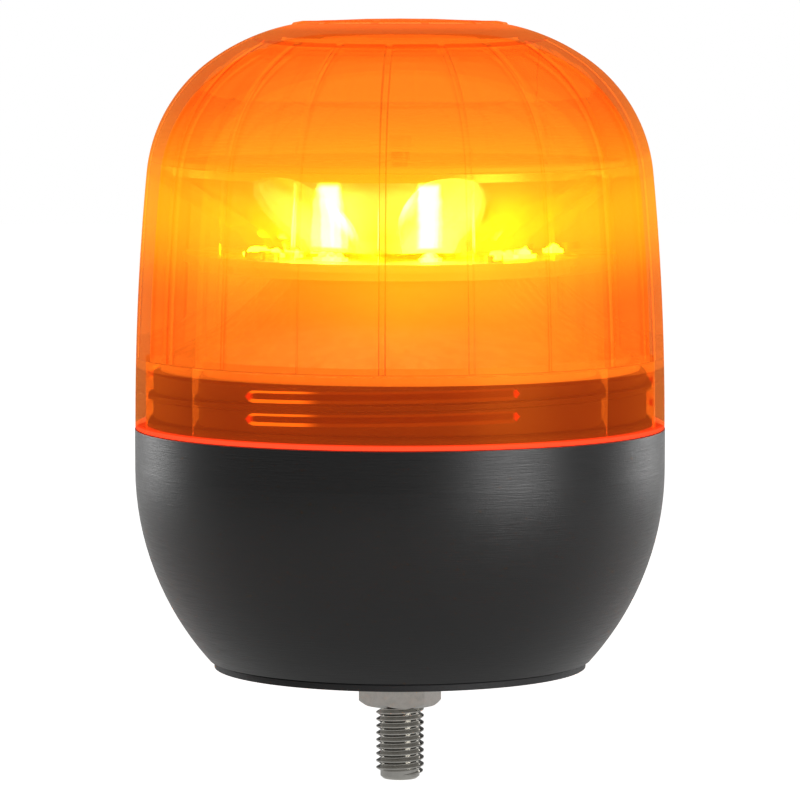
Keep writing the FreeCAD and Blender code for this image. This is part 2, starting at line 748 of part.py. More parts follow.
def lens():
    """Screw-on lens: a skirt, a ledge, a nearly upright side, a round shoulder and a flatter crown.

    The three curves of the section touch without a corner, inside and outside.
    """
    body = new_body("lens")
    foot = s.base_rim_height + s.seal_gap
    foot_radius = s.base_rim_radius - s.lens_inset
    side_centre = foot_radius - s.lens_side_curve
    shoulder_rise = s.lens_shoulder_height - foot
    side_span = s.lens_side_curve - s.lens_shoulder_curve
    shoulder_run = root(side_span * side_span - shoulder_rise * shoulder_rise)
    shoulder_centre = side_centre + shoulder_run
    crown_span = s.lens_crown_curve - s.lens_shoulder_curve
    crown_x = shoulder_centre - crown_span * cosine(s.lens_crown_angle)
    crown_z = s.lens_shoulder_height - crown_span * sine(s.lens_crown_angle)

    def on_side(inset, height):
        """Where the side's curve, set in from the outside, stands at a height."""
        curve = s.lens_side_curve - inset
        rise = height - foot
        return side_centre + root(curve * curve - rise * rise), height

    def side_end(inset):
        """Where the side turns into the shoulder."""
        share = (s.lens_side_curve - inset) / side_span
        return side_centre + share * shoulder_run, foot + share * shoulder_rise

    def shoulder_end(inset):
        """Where the shoulder turns into the crown."""
        curve = s.lens_shoulder_curve - inset
        x = shoulder_centre + curve * cosine(s.lens_crown_angle)
        return x, s.lens_shoulder_height + curve * sine(s.lens_crown_angle)

    def on_crown(inset, radius):
        """Where the crown's curve stands at a radius."""
        curve = s.lens_crown_curve - inset
        run = radius - crown_x
        return radius, crown_z + root(curve * curve - run * run)

    wall = s.lens_wall
    ledge = foot + s.lens_skirt_height
    skirt = neck_radius + s.lens_skirt_gap
    crown_top = crown_z + s.lens_crown_curve
    corners = [
        (foot_radius, foot),
        side_end(0),
        shoulder_end(0),
        (crown_x, crown_top),
        (0, crown_top),
        (0, crown_top - wall),
        (crown_x, crown_top - wall),
        shoulder_end(wall),
        side_end(wall),
        on_side(wall, ledge),
        (skirt, ledge),
        (skirt, foot),
    ]
    curves = {
        0: s.lens_side_curve,
        1: s.lens_shoulder_curve,
        2: s.lens_crown_curve,
        6: wall - s.lens_crown_curve,
        7: wall - s.lens_shoulder_curve,
        8: wall - s.lens_side_curve,
    }
    revolve(body, corners, curves)

    ring_radius = crown_x + s.lens_ring_reach
    ring_in = ring_radius - s.lens_ring_width / 2
    ring_out = ring_radius + s.lens_ring_width / 2
    sunk = wall / 2
    ring_low = on_crown(wall, ring_out)[1] - s.lens_ring_depth
    ring = [(ring_in, ring_low), (ring_out, ring_low), on_crown(sunk, ring_out), on_crown(sunk, ring_in)]
    revolve(body, ring)

    crest_inner = crown_x + s.crest_reach
    crest_outer = crest_inner + s.crest_width
    crest_top = crown_top + s.crest_height
    crest_edge = s.crest_height / 2
    crest = [
        on_crown(sunk, crest_inner),
        on_crown(sunk, crest_outer),
        (crest_outer, crest_top - crest_edge),
        (crest_outer - crest_edge, crest_top),
        (crest_inner + crest_edge, crest_top),
        (crest_inner, crest_top - crest_edge),
    ]
    short_sweep = 360 / s.crest_count - s.crest_long - 2 * s.crest_gap
    short_turn = s.crest_turn + 180 / s.crest_count
    around(body, revolve(body, crest, sweep=s.crest_long, turn=s.crest_turn), s.crest_count)
    around(body, revolve(body, crest, sweep=short_sweep, turn=short_turn), s.crest_count)

    face = wall + s.lens_rib_depth
    rib = [
        on_side(sunk, ledge),
        side_end(sunk),
        shoulder_end(sunk),
        on_crown(sunk, ring_radius),
        on_crown(face, ring_radius),
        shoulder_end(face),
        side_end(face),
        on_side(face, ledge),
    ]
    rib_curves = {
        0: s.lens_side_curve - sunk,
        1: s.lens_shoulder_curve - sunk,
        2: s.lens_crown_curve - sunk,
        4: face - s.lens_crown_curve,
        5: face - s.lens_shoulder_curve,
        6: face - s.lens_side_curve,
    }
    sketch = new_sketch(body, "XZ_Plane", turn=s.lens_rib_turn)
    draw_outline(sketch, rib, rib_curves)
    around(body, pad(body, sketch, s.lens_rib_width, both_sides=True), s.lens_rib_count)
    return body


def base_gasket():
    """Flat rubber ring with a rib that locates it in the base."""
    height = s.base_foot_height
    corners = [
        (s.gasket_inner, 0),
        (s.gasket_outer, 0),
        (s.gasket_outer, height - s.gasket_edge),
        (s.gasket_outer - s.gasket_edge, height),
        (s.gasket_rib_outer, height),
        (s.gasket_rib_outer, height + s.gasket_rib_height),
        (s.gasket_rib_inner, height + s.gasket_rib_height),
        (s.gasket_rib_inner, height),
        (s.gasket_inner, height),
    ]
    return turned("base_gasket", corners)


def hex_piece(name, low, height, turn=None):
    """A hexagon with corners turned off at both ends."""
    prism = doc.addObject("Part::Prism", f"{name}_prism")
    corner = s.hex_across_flats / root(as_size(3))
    bind(prism, "Circumradius", corner)
    bind(prism, "Height", height)
    place(prism, z=low, turn=turn)
    flat = s.hex_across_flats / 2
    outline = [
        (0, low),
        (flat, low),
        (corner, low + s.hex_chamfer),
        (corner, low + height - s.hex_chamfer),
        (flat, low + height),
        (0, low + height),
    ]
    item = doc.addObject("Part::Common", f"{name}_hexagon")
    item.Base = prism
    item.Tool = turned(f"{name}_turning", outline)
    return item


def mounting_bolt():
    """Hexagon bolt from inside the floor; its shank is thinner where the nut sits on the thread."""
    nut_low = nut_top - s.nut_height
    tip = -s.stud_tip
    shank = [
        (0, tip),
        (s.stud_radius - s.stud_chamfer, tip),
        (s.stud_radius, tip + s.stud_chamfer),
        (s.stud_radius, nut_low),
        (s.stud_pitch_radius, nut_low),
        (s.stud_pitch_radius, nut_top),
        (s.stud_radius, nut_top),
        (s.stud_radius, floor_top),
        (0, floor_top),
    ]
    head = hex_piece("mounting_bolt", floor_top, s.head_height)
    return fuse("mounting_bolt", [turned("mounting_bolt_shank", shank), head])


def mounting_nut():
    """Hexagon nut, drawn at rest against the base."""
    low = nut_top - s.nut_height
    bore = cylinder("mounting_nut_bore", s.stud_pitch_radius + s.close_gap, s.nut_height, z=low)
    return cut("mounting_nut", hex_piece("mounting_nut", low, s.nut_height, s.nut_turn), [bore])


def cable_grommet():
    """Rubber grommet in the floor, with a lip on each side of it."""
    x, y = polar(s.cable_ring, s.cable_turn)
    hole = s.cable_hole_radius - s.close_gap
    low = s.base_foot_height
    outline = [
        (s.cable_radius, low - s.grommet_lip),
        (s.grommet_flange, low - s.grommet_lip),
        (s.grommet_flange, low),
        (hole, low),
        (hole, floor_top),
        (s.grommet_flange, floor_top),
        (s.grommet_flange, floor_top + s.grommet_lip),
        (s.cable_radius, floor_top + s.grommet_lip),
    ]
    item = turned("cable_grommet", outline)
    place(item, x, y)
    return item


# ---------------------------------------------------------------- chassis, pedestal and optics


def chassis_plate():
    """Disc on the collar's ledge that carries the gears below and the pedestal above."""
    drillings = [(s.shaft_radius + s.shaft_clearance, as_size(0), as_size(0))]
    for number in numbers(s.column_count):
        drillings.append((large_hole, *polar(column_ring, post_angle(number))))
        drillings.append((small_hole, *polar(s.pedestal_boss_ring, post_angle(number))))
    for angle in PILLAR_ANGLES:
        drillings.append((small_hole, *polar(pillar_ring, angle)))
    radius = neck_bore - s.plate_gap
    return disc("chassis_plate", radius, s.plate_thickness, ledge_top, drillings)


def pedestal():
    """Flared skirt with a foot flange, a flat top and a seat for the upper bearing."""
    body = new_body("pedestal")
    bore = s.bearing_radius
    flange = neck_radius - s.pedestal_inset
    foot = flange - s.pedestal_flange_width
    under = pedestal_top - s.pedestal_plate
    flange_top = neck_top + s.pedestal_plate
    step_top = neck_top + s.pedestal_step
    corners = [
        (bore, pedestal_top - s.bearing_length),
        (s.bearing_seat_radius, pedestal_top - s.bearing_length),
        (s.bearing_seat_radius, under),
        (s.pedestal_waist - s.pedestal_wall, under),
        (foot - s.pedestal_wall, step_top),
        (foot - s.pedestal_wall, neck_top),
        (flange, neck_top),
        (flange, flange_top),
        (foot, flange_top),
        (foot, step_top),
        (s.pedestal_waist, under),
        (s.pedestal_top_radius, under),
        (s.pedestal_top_radius, pedestal_top),
        (bore, pedestal_top),
    ]
    revolve(body, corners, {3: s.pedestal_curve, 9: -s.pedestal_curve})
    boss = (body, s.pedestal_boss_ring, s.column_turn)
    columns(*boss, s.pedestal_boss_radius, plate_top, under - plate_top, s.column_count)
    tapped = new_sketch(body, "XY_Plane", lift=under)
    draw_circle(tapped, *polar(s.pedestal_boss_ring, s.column_turn), small_hole)
    around(body, pocket(body, tapped, under - plate_top), s.column_count)
    fixing = (body, s.board_screw_ring, board_screw_angle(1))
    holes(*fixing, small_hole, pedestal_top, s.pedestal_plate, s.board_screw_count)
    return body


def led_board():
    """White board with a hole for the bearing's flange."""
    drillings = [(s.bearing_flange + s.fit_gap, as_size(0), as_size(0))]
    for number in numbers(s.board_screw_count):
        drillings.append((small_hole, *polar(s.board_screw_ring, board_screw_angle(number))))
    return disc("led_board", s.board_radius, s.board_thickness, pedestal_top, drillings)


def led(number):
    """A square LED with a domed emitter, seen by one reflector cup."""
    side = s.led_side
    base = doc.addObject("Part::Box", f"led_{number}_base")
    bind(base, "Length", side)
    bind(base, "Width", side)
    bind(base, "Height", s.led_height)
    place(base, side / -2, side / -2)
    dome = doc.addObject("Part::Sphere", f"led_{number}_dome")
    bind(dome, "Radius", s.led_dome)
    dome.Angle1 = 0
    place(dome, z=s.led_height)
    item = fuse(f"led_{number}", [base, dome])
    place(item, *polar(s.led_ring, led_angle(number)), board_top, led_angle(number))
    return item


def cup(number):
    """A paraboloid about a level line outwards from one LED, as the hollow of a reflector cup."""
    focal = s.cup_focal_length.value
    reach = (reflector_edge - s.led_ring + s.cup_overrun).value
    focus = FreeCAD.Vector(s.led_ring.value, 0, 0)
    vertex = focus - FreeCAD.Vector(focal, 0, 0)
    parabola = Part.Parabola(focus, vertex, FreeCAD.Vector(0, 0, 1))
    height = math.sqrt(4 * focal * (reach + focal))
    edge = parabola.toShape(0, height).toNurbs().Edges[0]
    mouth = FreeCAD.Vector(focus.x + reach, 0, 0)
    rim = edge.valueAt(edge.LastParameter)
    lines = [Part.makeLine(rim, mouth), Part.makeLine(mouth, vertex)]
    face = Part.Face(Part.Wire([edge, *lines]))
    item = doc.addObject("Part::Feature", f"cup_{number}")
    item.Shape = face.revolve(vertex, FreeCAD.Vector(1, 0, 0), 360)
    place(item, z=board_top + s.led_height, turn=led_angle(number))
    return item


def reflector():
    """Cone-like block with one paraboloid cup over each LED, which throws its light outwards."""
    bore = s.shaft_radius + s.close_gap
    knee = reflector_foot + s.reflector_knee_height
    rim = reflector_top - s.reflector_rim
    outline = [
        (bore, reflector_foot),
        (s.reflector_foot, reflector_foot),
        (s.reflector_knee, knee),
        (reflector_edge, rim),
        (reflector_edge, reflector_top),
        (bore, reflector_top),
    ]
    cups = [cup(number) for number in numbers(s.led_count)]
    return cut("reflector", turned("reflector_blank", outline), cups)


def reflector_cap():
    """Thin disc over the reflector, with a turned-down edge."""
    edge = s.cap_thickness / 2
    outline = [
        (s.small_screw_radius + s.close_gap, reflector_top),
        (cap_radius - edge, reflector_top),
        (cap_radius, reflector_top + edge / 2),
        (cap_radius, cap_top - edge / 2),
        (cap_radius - edge / 2, cap_top),
        (s.small_screw_radius + s.close_gap, cap_top),
    ]
    return turned("reflector_cap", outline)


# ---------------------------------------------------------------- drive

def rotor_shaft():
    """Shaft from below the gear plate up to the reflector's cap, tapped for the cap's screw."""
    low = gear_plate_bottom - s.shaft_end
    tap_low = reflector_top - s.tap_depth
    outline = [
        (0, low),
        (s.shaft_radius, low),
        (s.shaft_radius, reflector_top),
        (small_hole, reflector_top),
        (small_hole, tap_low),
        (0, tap_low),
    ]
    return turned("rotor_shaft", outline)


def retaining_clip():
    """Ring that keeps the shaft from rising out of its bush."""
    top = gear_plate_bottom - s.axial_play
    low = top - s.clip_thickness
    bore = s.shaft_radius + s.close_gap
    outside = bore * s.collar_share
    return turned("retaining_clip", [(bore, low), (outside, low), (outside, top), (bore, top)])


def gear_outline(module, teeth, phase):
    """Corners of an involute gear: two straight spans on each flank, a tip and a root."""
    pitch = module * teeth / 2
    base = pitch * math.cos(math.radians(s.pressure_angle.value))
    knee = pitch - s.tooth_knee.value * module
    heights = [pitch - s.tooth_root.value * module, knee, pitch, pitch + s.tooth_tip.value * module]

    def involute(radius):
        """Involute angle at a radius, measured from the base circle."""
        angle = math.acos(min(1.0, base / radius))
        return math.tan(angle) - angle

    at_pitch = math.pi / (2 * teeth) - s.gear_backlash.value / pitch
    halves = [at_pitch + involute(pitch) - involute(height) for height in heights]
    corners = []
    for tooth in range(teeth):
        middle = math.radians(phase) + 2 * math.pi * tooth / teeth
        for side in (-1, 1):
            order = range(4) if side < 0 else range(3, -1, -1)
            for index in order:
                angle = middle + side * halves[index]
                radius = heights[index]
                corners.append(FreeCAD.Vector(radius * math.cos(angle), radius * math.sin(angle), 0))
    return corners


def gear(name, module, teeth, phase, bottom, width):
    """A straight-toothed wheel about its own axis, with its bottom face at a height."""
    corners = gear_outline(module.value, whole(teeth), phase)
    face = Part.Face(Part.makePolygon([*corners, corners[0]]))
    item = doc.addObject("Part::Feature", name)
    item.Shape = face.extrude(FreeCAD.Vector(0, 0, width.value))
    place(item, z=bottom)
    return item


def output_gear():
    """Wheel on the rotor's shaft, with a hub that rests on the lower bush and windows in its web."""
    hub_low = gear_plate_top + s.bearing_flange_height + s.axial_play
    wheel = gear("output_wheel", output_module, s.output_teeth, 0, output_bottom, s.output_width)
    hub = cylinder("output_hub", s.bearing_radius, output_top - hub_low, z=hub_low)
    bore = cylinder("output_bore", s.shaft_radius + s.close_gap, s.pillar_height, z=hub_low)
    tools = [bore]
    for number in numbers(s.window_count):
        x, y = polar(s.window_ring, 360 / s.window_count * number)
        name = f"output_window_{number}"
        tools.append(cylinder(name, s.window_radius, s.pillar_height, x, y, hub_low))
    return cut("output_gear", fuse("output_blank", [wheel, hub]), tools)


def compound_gear():
    """Wheel driven by the motor and, above it, the pinion that drives the output gear."""
    phase = 180 + 180 / s.output_pinion_teeth.value
    turn = s.input_turn.value
    width = s.output_width + 2 * s.pinion_overlap
    wheel = gear("input_wheel", input_module, s.input_teeth, turn, input_bottom, s.input_width)
    neck = cylinder("compound_neck", s.pillar_radius, output_bottom - input_top, z=input_top)
    low = output_bottom - s.pinion_overlap
    pinion = gear("output_pinion", output_module, s.output_pinion_teeth, phase, low, width)
    bore_length = output_top - input_bottom + 2 * s.pinion_overlap
    bore = cylinder("compound_bore", s.axle_radius + s.running_gap, bore_length, z=input_bottom)
    item = cut("compound_gear", fuse("compound_blank", [wheel, neck, pinion]), [bore])
    place(item, axle_x)
    return item


def motor_pinion():
    """The motor's shaft with its pinion."""
    teeth = s.input_pinion_teeth
    phase = s.input_turn.value + 180 + 180 / teeth.value
    wheel = gear("input_pinion", input_module, teeth, phase, input_bottom, s.input_width)
    low = gear_plate_bottom - s.motor_shaft_depth
    shaft = cylinder("motor_shaft", s.motor_shaft_radius, input_top - low, z=low)
    item = fuse("motor_pinion", [wheel, shaft])
    place(item, motor_x, motor_y)
    return item


def gear_plate():
    """Disc under the gears that carries the motor, the axle and the lower bush."""
    drillings = [
        (s.bearing_radius, as_size(0), as_size(0)),
        (s.axle_radius + s.close_gap, axle_x, as_size(0)),
        (s.motor_nose_radius + s.running_gap, motor_x, motor_y),
    ]
    for angle in PILLAR_ANGLES:
        drillings.append((small_hole, *polar(pillar_ring, angle)))
    for side in (0, 180):
        x, y = polar(s.motor_screw_ring, s.input_turn + 90 + side)
        drillings.append((small_hole, motor_x + x, motor_y + y))
    return disc("gear_plate", disc_radius, s.gear_plate_thickness, gear_plate_bottom, drillings)


def gear_pillar(number):
    """Pillar between the plates, tapped at both ends."""
    return tube(f"gear_pillar_{number}", s.pillar_radius, s.pillar_height,
                *polar(pillar_ring, PILLAR_ANGLES[number - 1]), gear_plate_top)


def idler_axle():
    """Pin for the compound gear, pressed into the gear plate, with a head that keeps the gear down."""
    low = gear_plate_bottom
    head_low = output_top + s.pinion_overlap + s.axial_play
    head_top = head_low + s.axle_head_height
    head_radius = s.axle_radius * s.collar_share
    outline = [
        (0, low),
        (s.axle_radius, low),
        (s.axle_radius, head_low),
        (head_radius, head_low),
        (head_radius, head_top),
        (0, head_top),
    ]
    collar_height = input_bottom - s.axial_play - gear_plate_top
    collar = cylinder("axle_collar", head_radius, collar_height, z=gear_plate_top)
    item = fuse("idler_axle", [turned("axle_pin", outline), collar])
    place(item, axle_x)
    return item


def motor():
    """Round motor under the gear plate, its nose in the plate and its shaft through the nose."""
    low = circuit_top + s.motor_clearance
    nose = gear_plate_bottom + s.gear_plate_thickness
    bore = s.motor_shaft_radius + s.running_gap
    bore_low = gear_plate_bottom - s.motor_shaft_depth - s.axial_play
    edge = s.motor_edge
    outline = [
        (0, low),
        (motor_radius - edge, low),
        (motor_radius, low + edge),
        (motor_radius, gear_plate_bottom - edge),
        (motor_radius - edge, gear_plate_bottom),
        (s.motor_nose_radius, gear_plate_bottom),
        (s.motor_nose_radius, nose),
        (bore, nose),
        (bore, bore_low),
        (0, bore_low),
    ]
    can = turned("motor_can", outline)
    tools = []
    for side in (0, 180):
        x, y = polar(s.motor_screw_ring, s.input_turn + 90 + side)
        tap_low = gear_plate_bottom - s.motor_tap_depth
        tools.append(cylinder(f"motor_tap_{side}", small_hole, s.motor_tap_depth, x, y, tap_low))
    item = cut("motor", can, tools)
    place(item, motor_x, motor_y)
    return item


# ---------------------------------------------------------------- electronics


def control_board():
    """Round circuit board on three standoffs."""
    drillings = []
    for number in numbers(s.column_count):
        drillings.append((small_hole, *polar(standoff_ring, post_angle(number))))
    return disc("control_board", disc_radius, s.circuit_thickness, circuit_bottom, drillings)


def board_standoff(number):
    """Round standoff with a through bore."""
    return tube(f"board_standoff_{number}", s.standoff_radius, s.standoff_height,
                *polar(standoff_ring, post_angle(number)), floor_top)


def terminal_block():
    """Two-way terminal block: a block with wire mouths in its side and screw wells in its top."""
    block = doc.addObject("Part::Box", "terminal_body")
    bind(block, "Length", s.terminal_length)
    bind(block, "Width", s.terminal_width)
    bind(block, "Height", s.terminal_height)
    tools = []
    pole = s.terminal_length / s.terminal_poles
    well = (s.terminal_well_radius, s.terminal_well_depth)
    well_low = s.terminal_height - s.terminal_well_depth
    for number in numbers(s.terminal_poles):
        x = pole * (number - 0.5)
        tools.append(cylinder(f"terminal_well_{number}", *well, x, s.terminal_width / 2, well_low))
        mouth = doc.addObject("Part::Box", f"terminal_mouth_{number}")
        bind(mouth, "Length", s.terminal_mouth_side)
        bind(mouth, "Width", s.terminal_mouth_depth)
        bind(mouth, "Height", s.terminal_mouth_side)
        place(mouth, x - s.terminal_mouth_side / 2, 0, s.terminal_mouth_lift)
        tools.append(mouth)
    item = cut("terminal_block", block, tools)
    place(item, s.terminal_inset - disc_radius, -s.cable_ring, circuit_top)
    return item


def capacitor():
    """Standing capacitor with a crimped waist."""
    radius = s.capacitor_radius
    waist = s.capacitor_waist
    groove = s.capacitor_groove
    outline = [
        (0, 0),
        (radius, 0),
        (radius, waist - groove),
        (radius - groove, waist),
        (radius, waist + groove),
        (radius, s.capacitor_height),
        (0, s.capacitor_height),
    ]
    item = turned("capacitor", outline)
    place(item, -s.cable_ring, s.capacitor_radius, circuit_top)
    return item


# ---------------------------------------------------------------- assembly

pieces = [
    base_housing(),
    thread_collar(),
    lens_seal(),
    lens(),
    base_gasket(),
    mounting_bolt(),
    mounting_nut(),
    cable_grommet(),
    chassis_plate(),
    pedestal(),
    led_board(),
    reflector(),
    reflector_cap(),
    rotor_shaft(),
    retaining_clip(),
    output_gear(),
    compound_gear(),
    motor_pinion(),
    gear_plate(),
    idler_axle(),
    motor(),
    control_board(),
    terminal_block(),
    capacitor(),
    bush("upper_bearing", pedestal_top, s.bearing_length),
    bush("lower_bearing", gear_plate_top, s.gear_plate_thickness),
]
cap_screw_length = s.tap_depth - s.screw_end_gap + s.cap_thickness
pieces.append(screw("cap_screw", s.small_screw_radius, cap_screw_length, 0, 0, cap_top))
for number in numbers(s.led_count):
    pieces.append(led(number))
for number in numbers(s.column_count):
    ring_place = polar(column_ring, post_angle(number))
    length = plate_top - rim_bottom + s.chassis_screw_grip
    pieces.append(screw(f"chassis_screw_{number}", s.large_screw_radius, length, *ring_place, plate_top))
    ring_place = polar(s.pedestal_boss_ring, post_angle(number))
    length = s.plate_thickness + s.tap_depth
    name = f"pedestal_screw_{number}"
    pieces.append(screw(name, s.small_screw_radius, length, *ring_place, ledge_top, False))
    ring_place = polar(standoff_ring, post_angle(number))
    length = s.standoff_height + s.circuit_thickness
    pieces.append(screw(f"board_screw_{number}", s.small_screw_radius, length, *ring_place, circuit_top))
    pieces.append(board_standoff(number))
    ring_place = polar(pillar_ring, PILLAR_ANGLES[number - 1])
    length = s.gear_plate_thickness + s.pillar_height / 2 - s.screw_end_gap
    name = f"pillar_screw_{number}"
    pieces.append(screw(name, s.small_screw_radius, length, *ring_place, gear_plate_bottom, False))
    pieces.append(gear_pillar(number))
for number in numbers(s.board_screw_count):
    ring_place = polar(s.board_screw_ring, board_screw_angle(number))
    length = s.board_thickness + s.pedestal_plate
    name = f"led_board_screw_{number}"
    pieces.append(screw(name, s.small_screw_radius, length, *ring_place, board_top))
for number, side in ((1, 0), (2, 180)):
    x, y = polar(s.motor_screw_ring, s.input_turn + 90 + side)
    length = s.gear_plate_thickness + s.motor_tap_depth - s.screw_end_gap
    ring_place = (motor_x + x, motor_y + y)
    name = f"motor_screw_{number}"
    pieces.append(screw(name, s.small_screw_radius, length, *ring_place, gear_plate_top))

doc.recompute()
for item in doc.Objects:
    if "Invalid" in item.State or "Error" in item.State:
        raise RuntimeError(f"{item.Label}: {item.State}")
for piece in pieces:
    if piece.Shape.isNull() or not piece.Shape.isValid():
        raise RuntimeError(f"{piece.Label}: no valid shape")
    if len(piece.Shape.Solids) != 1:
        raise RuntimeError(f"{piece.Label}: {len(piece.Shape.Solids)} solids")

os.makedirs("parts", exist_ok=True)
for piece in pieces:
    piece.Shape.exportStep(f"parts/{piece.Label}.step")
    box = piece.Shape.BoundBox
    print(piece.Label, f"{piece.Shape.Volume:.1f} mm3, z {box.ZMin:.2f} to {box.ZMax:.2f}")
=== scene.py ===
"""Looks of a rotating beacon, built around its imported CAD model.

The lens, the stud and the threads are new surfaces worked out with numpy. Every other piece keeps
its solid and gets a material. Lengths in the property groups are in metres.
"""
import json
import math
from types import SimpleNamespace

import bmesh
import bpy
import numpy as np
from bpy.props import FloatProperty, IntProperty, PointerProperty, StringProperty
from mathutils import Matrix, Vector


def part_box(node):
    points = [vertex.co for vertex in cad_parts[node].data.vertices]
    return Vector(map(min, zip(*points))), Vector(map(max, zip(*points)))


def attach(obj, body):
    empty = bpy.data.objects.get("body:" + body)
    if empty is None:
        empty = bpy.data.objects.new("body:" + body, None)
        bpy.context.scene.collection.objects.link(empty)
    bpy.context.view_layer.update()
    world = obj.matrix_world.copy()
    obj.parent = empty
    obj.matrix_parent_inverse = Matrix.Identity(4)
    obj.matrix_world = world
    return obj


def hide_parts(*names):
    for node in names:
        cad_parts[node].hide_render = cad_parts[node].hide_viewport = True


bl_info = {
    "name": "Rotating Beacon",
    "version": (1, 0, 0),
    "blender": (4, 5, 0),
    "location": "View3D > Sidebar > Beacon",
    "description": "Builds the looks of an amber rotating beacon around its CAD model",
    "category": "Object",
}

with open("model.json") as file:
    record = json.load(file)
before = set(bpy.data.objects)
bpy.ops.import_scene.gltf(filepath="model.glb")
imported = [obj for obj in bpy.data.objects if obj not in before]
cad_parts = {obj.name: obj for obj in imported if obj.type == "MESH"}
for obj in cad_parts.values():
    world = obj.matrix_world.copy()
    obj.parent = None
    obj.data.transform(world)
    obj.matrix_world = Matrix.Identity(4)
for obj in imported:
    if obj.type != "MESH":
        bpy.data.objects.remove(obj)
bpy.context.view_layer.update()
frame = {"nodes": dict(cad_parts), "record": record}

MM = 0.001
QUARTER = math.pi / 2
CIRCLE = 2 * math.pi
# an edge that turns by more than this is drawn sharp
SHARP = math.radians(35)
lens_low, lens_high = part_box("lens")
neck_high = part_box("thread_collar")[1]
bolt_low, bolt_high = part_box("mounting_bolt")


# -------- properties


def length(name, description, value):
    """A length in metres, given in millimetres."""
    return FloatProperty(name=name, description=description, default=value * MM, unit="LENGTH", precision=5)


def angle(name, description, degrees):
    """An angle, given in degrees."""
    return FloatProperty(name=name, description=description, default=math.radians(degrees), subtype="ANGLE")


def number(name, description, value):
    """A plain number, such as a share or a strength."""
    return FloatProperty(name=name, description=description, default=value)


def colour(name, description, value):
    """A colour as an sRGB hex value."""
    return StringProperty(name=name, description=description, default=value)


class BeaconLens(bpy.types.PropertyGroup):
    """Sizes of the lens."""

    side_curve: length("Side curve", "Radius of the lens's side in section", 660)
    shoulder_height: length("Shoulder height", "Height of the shoulder curve's centre", 120)
    shoulder_curve: length("Shoulder curve", "Radius of the shoulder in section", 39)
    crown_curve: length("Crown curve", "Radius of the crown in section", 52)
    crown_angle: angle("Crown angle", "Where the shoulder turns into the crown", 54)
    dome_share: number("Dome share", "Share of the shallow dome's rise at half its radius", 0.8)
    foot_rounding: length("Foot rounding", "Rounding of the lens's lower edge", 0.4)
    wall: length("Wall", "Thickness of the lens", 3.5)
    skirt_wall: length("Skirt wall", "Thickness of the skirt below the ledge", 2.7)
    skirt_height: length("Skirt height", "Height of the ledge above the foot", 17.6)
    rib_count: IntProperty(name="Ribs", description="Number of ribs inside the lens", default=18)
    rib_width: length("Rib width", "Width of a rib", 1.5)
    rib_depth: length("Rib depth", "How far a rib stands in from the wall", 0.9)
    rib_turn: angle("Rib turn", "Angle of the first rib", 6)
    ring_radius: length("Ring radius", "Radius of the ring where the ribs end", 34)
    ring_width: length("Ring width", "Width of that ring", 2)
    ring_depth: length("Ring depth", "Depth of that ring", 1.5)
    crest_inner: length("Crest radius", "Inner radius of the raised arcs on the crown", 24)
    crest_width: length("Crest width", "Width of the raised arcs", 2.7)
    crest_height: length("Crest height", "How far the raised arcs stand out of the crown", 0.4)
    crest_edge: length("Crest edge", "Half the width of a raised arc's sloping edge", 0.12)
    crest_count: IntProperty(name="Crests", description="Number of long and of short arcs", default=3)
    crest_long: angle("Long crest", "Angle that a long arc covers", 88)
    crest_gap: angle("Crest gap", "Angle between two arcs", 4)
    crest_turn: angle("Crest turn", "Angle of the first long arc's middle", 30)
    crest_bend: angle("Crest bend", "Half the angle over which an arc's end slopes", 0.15)


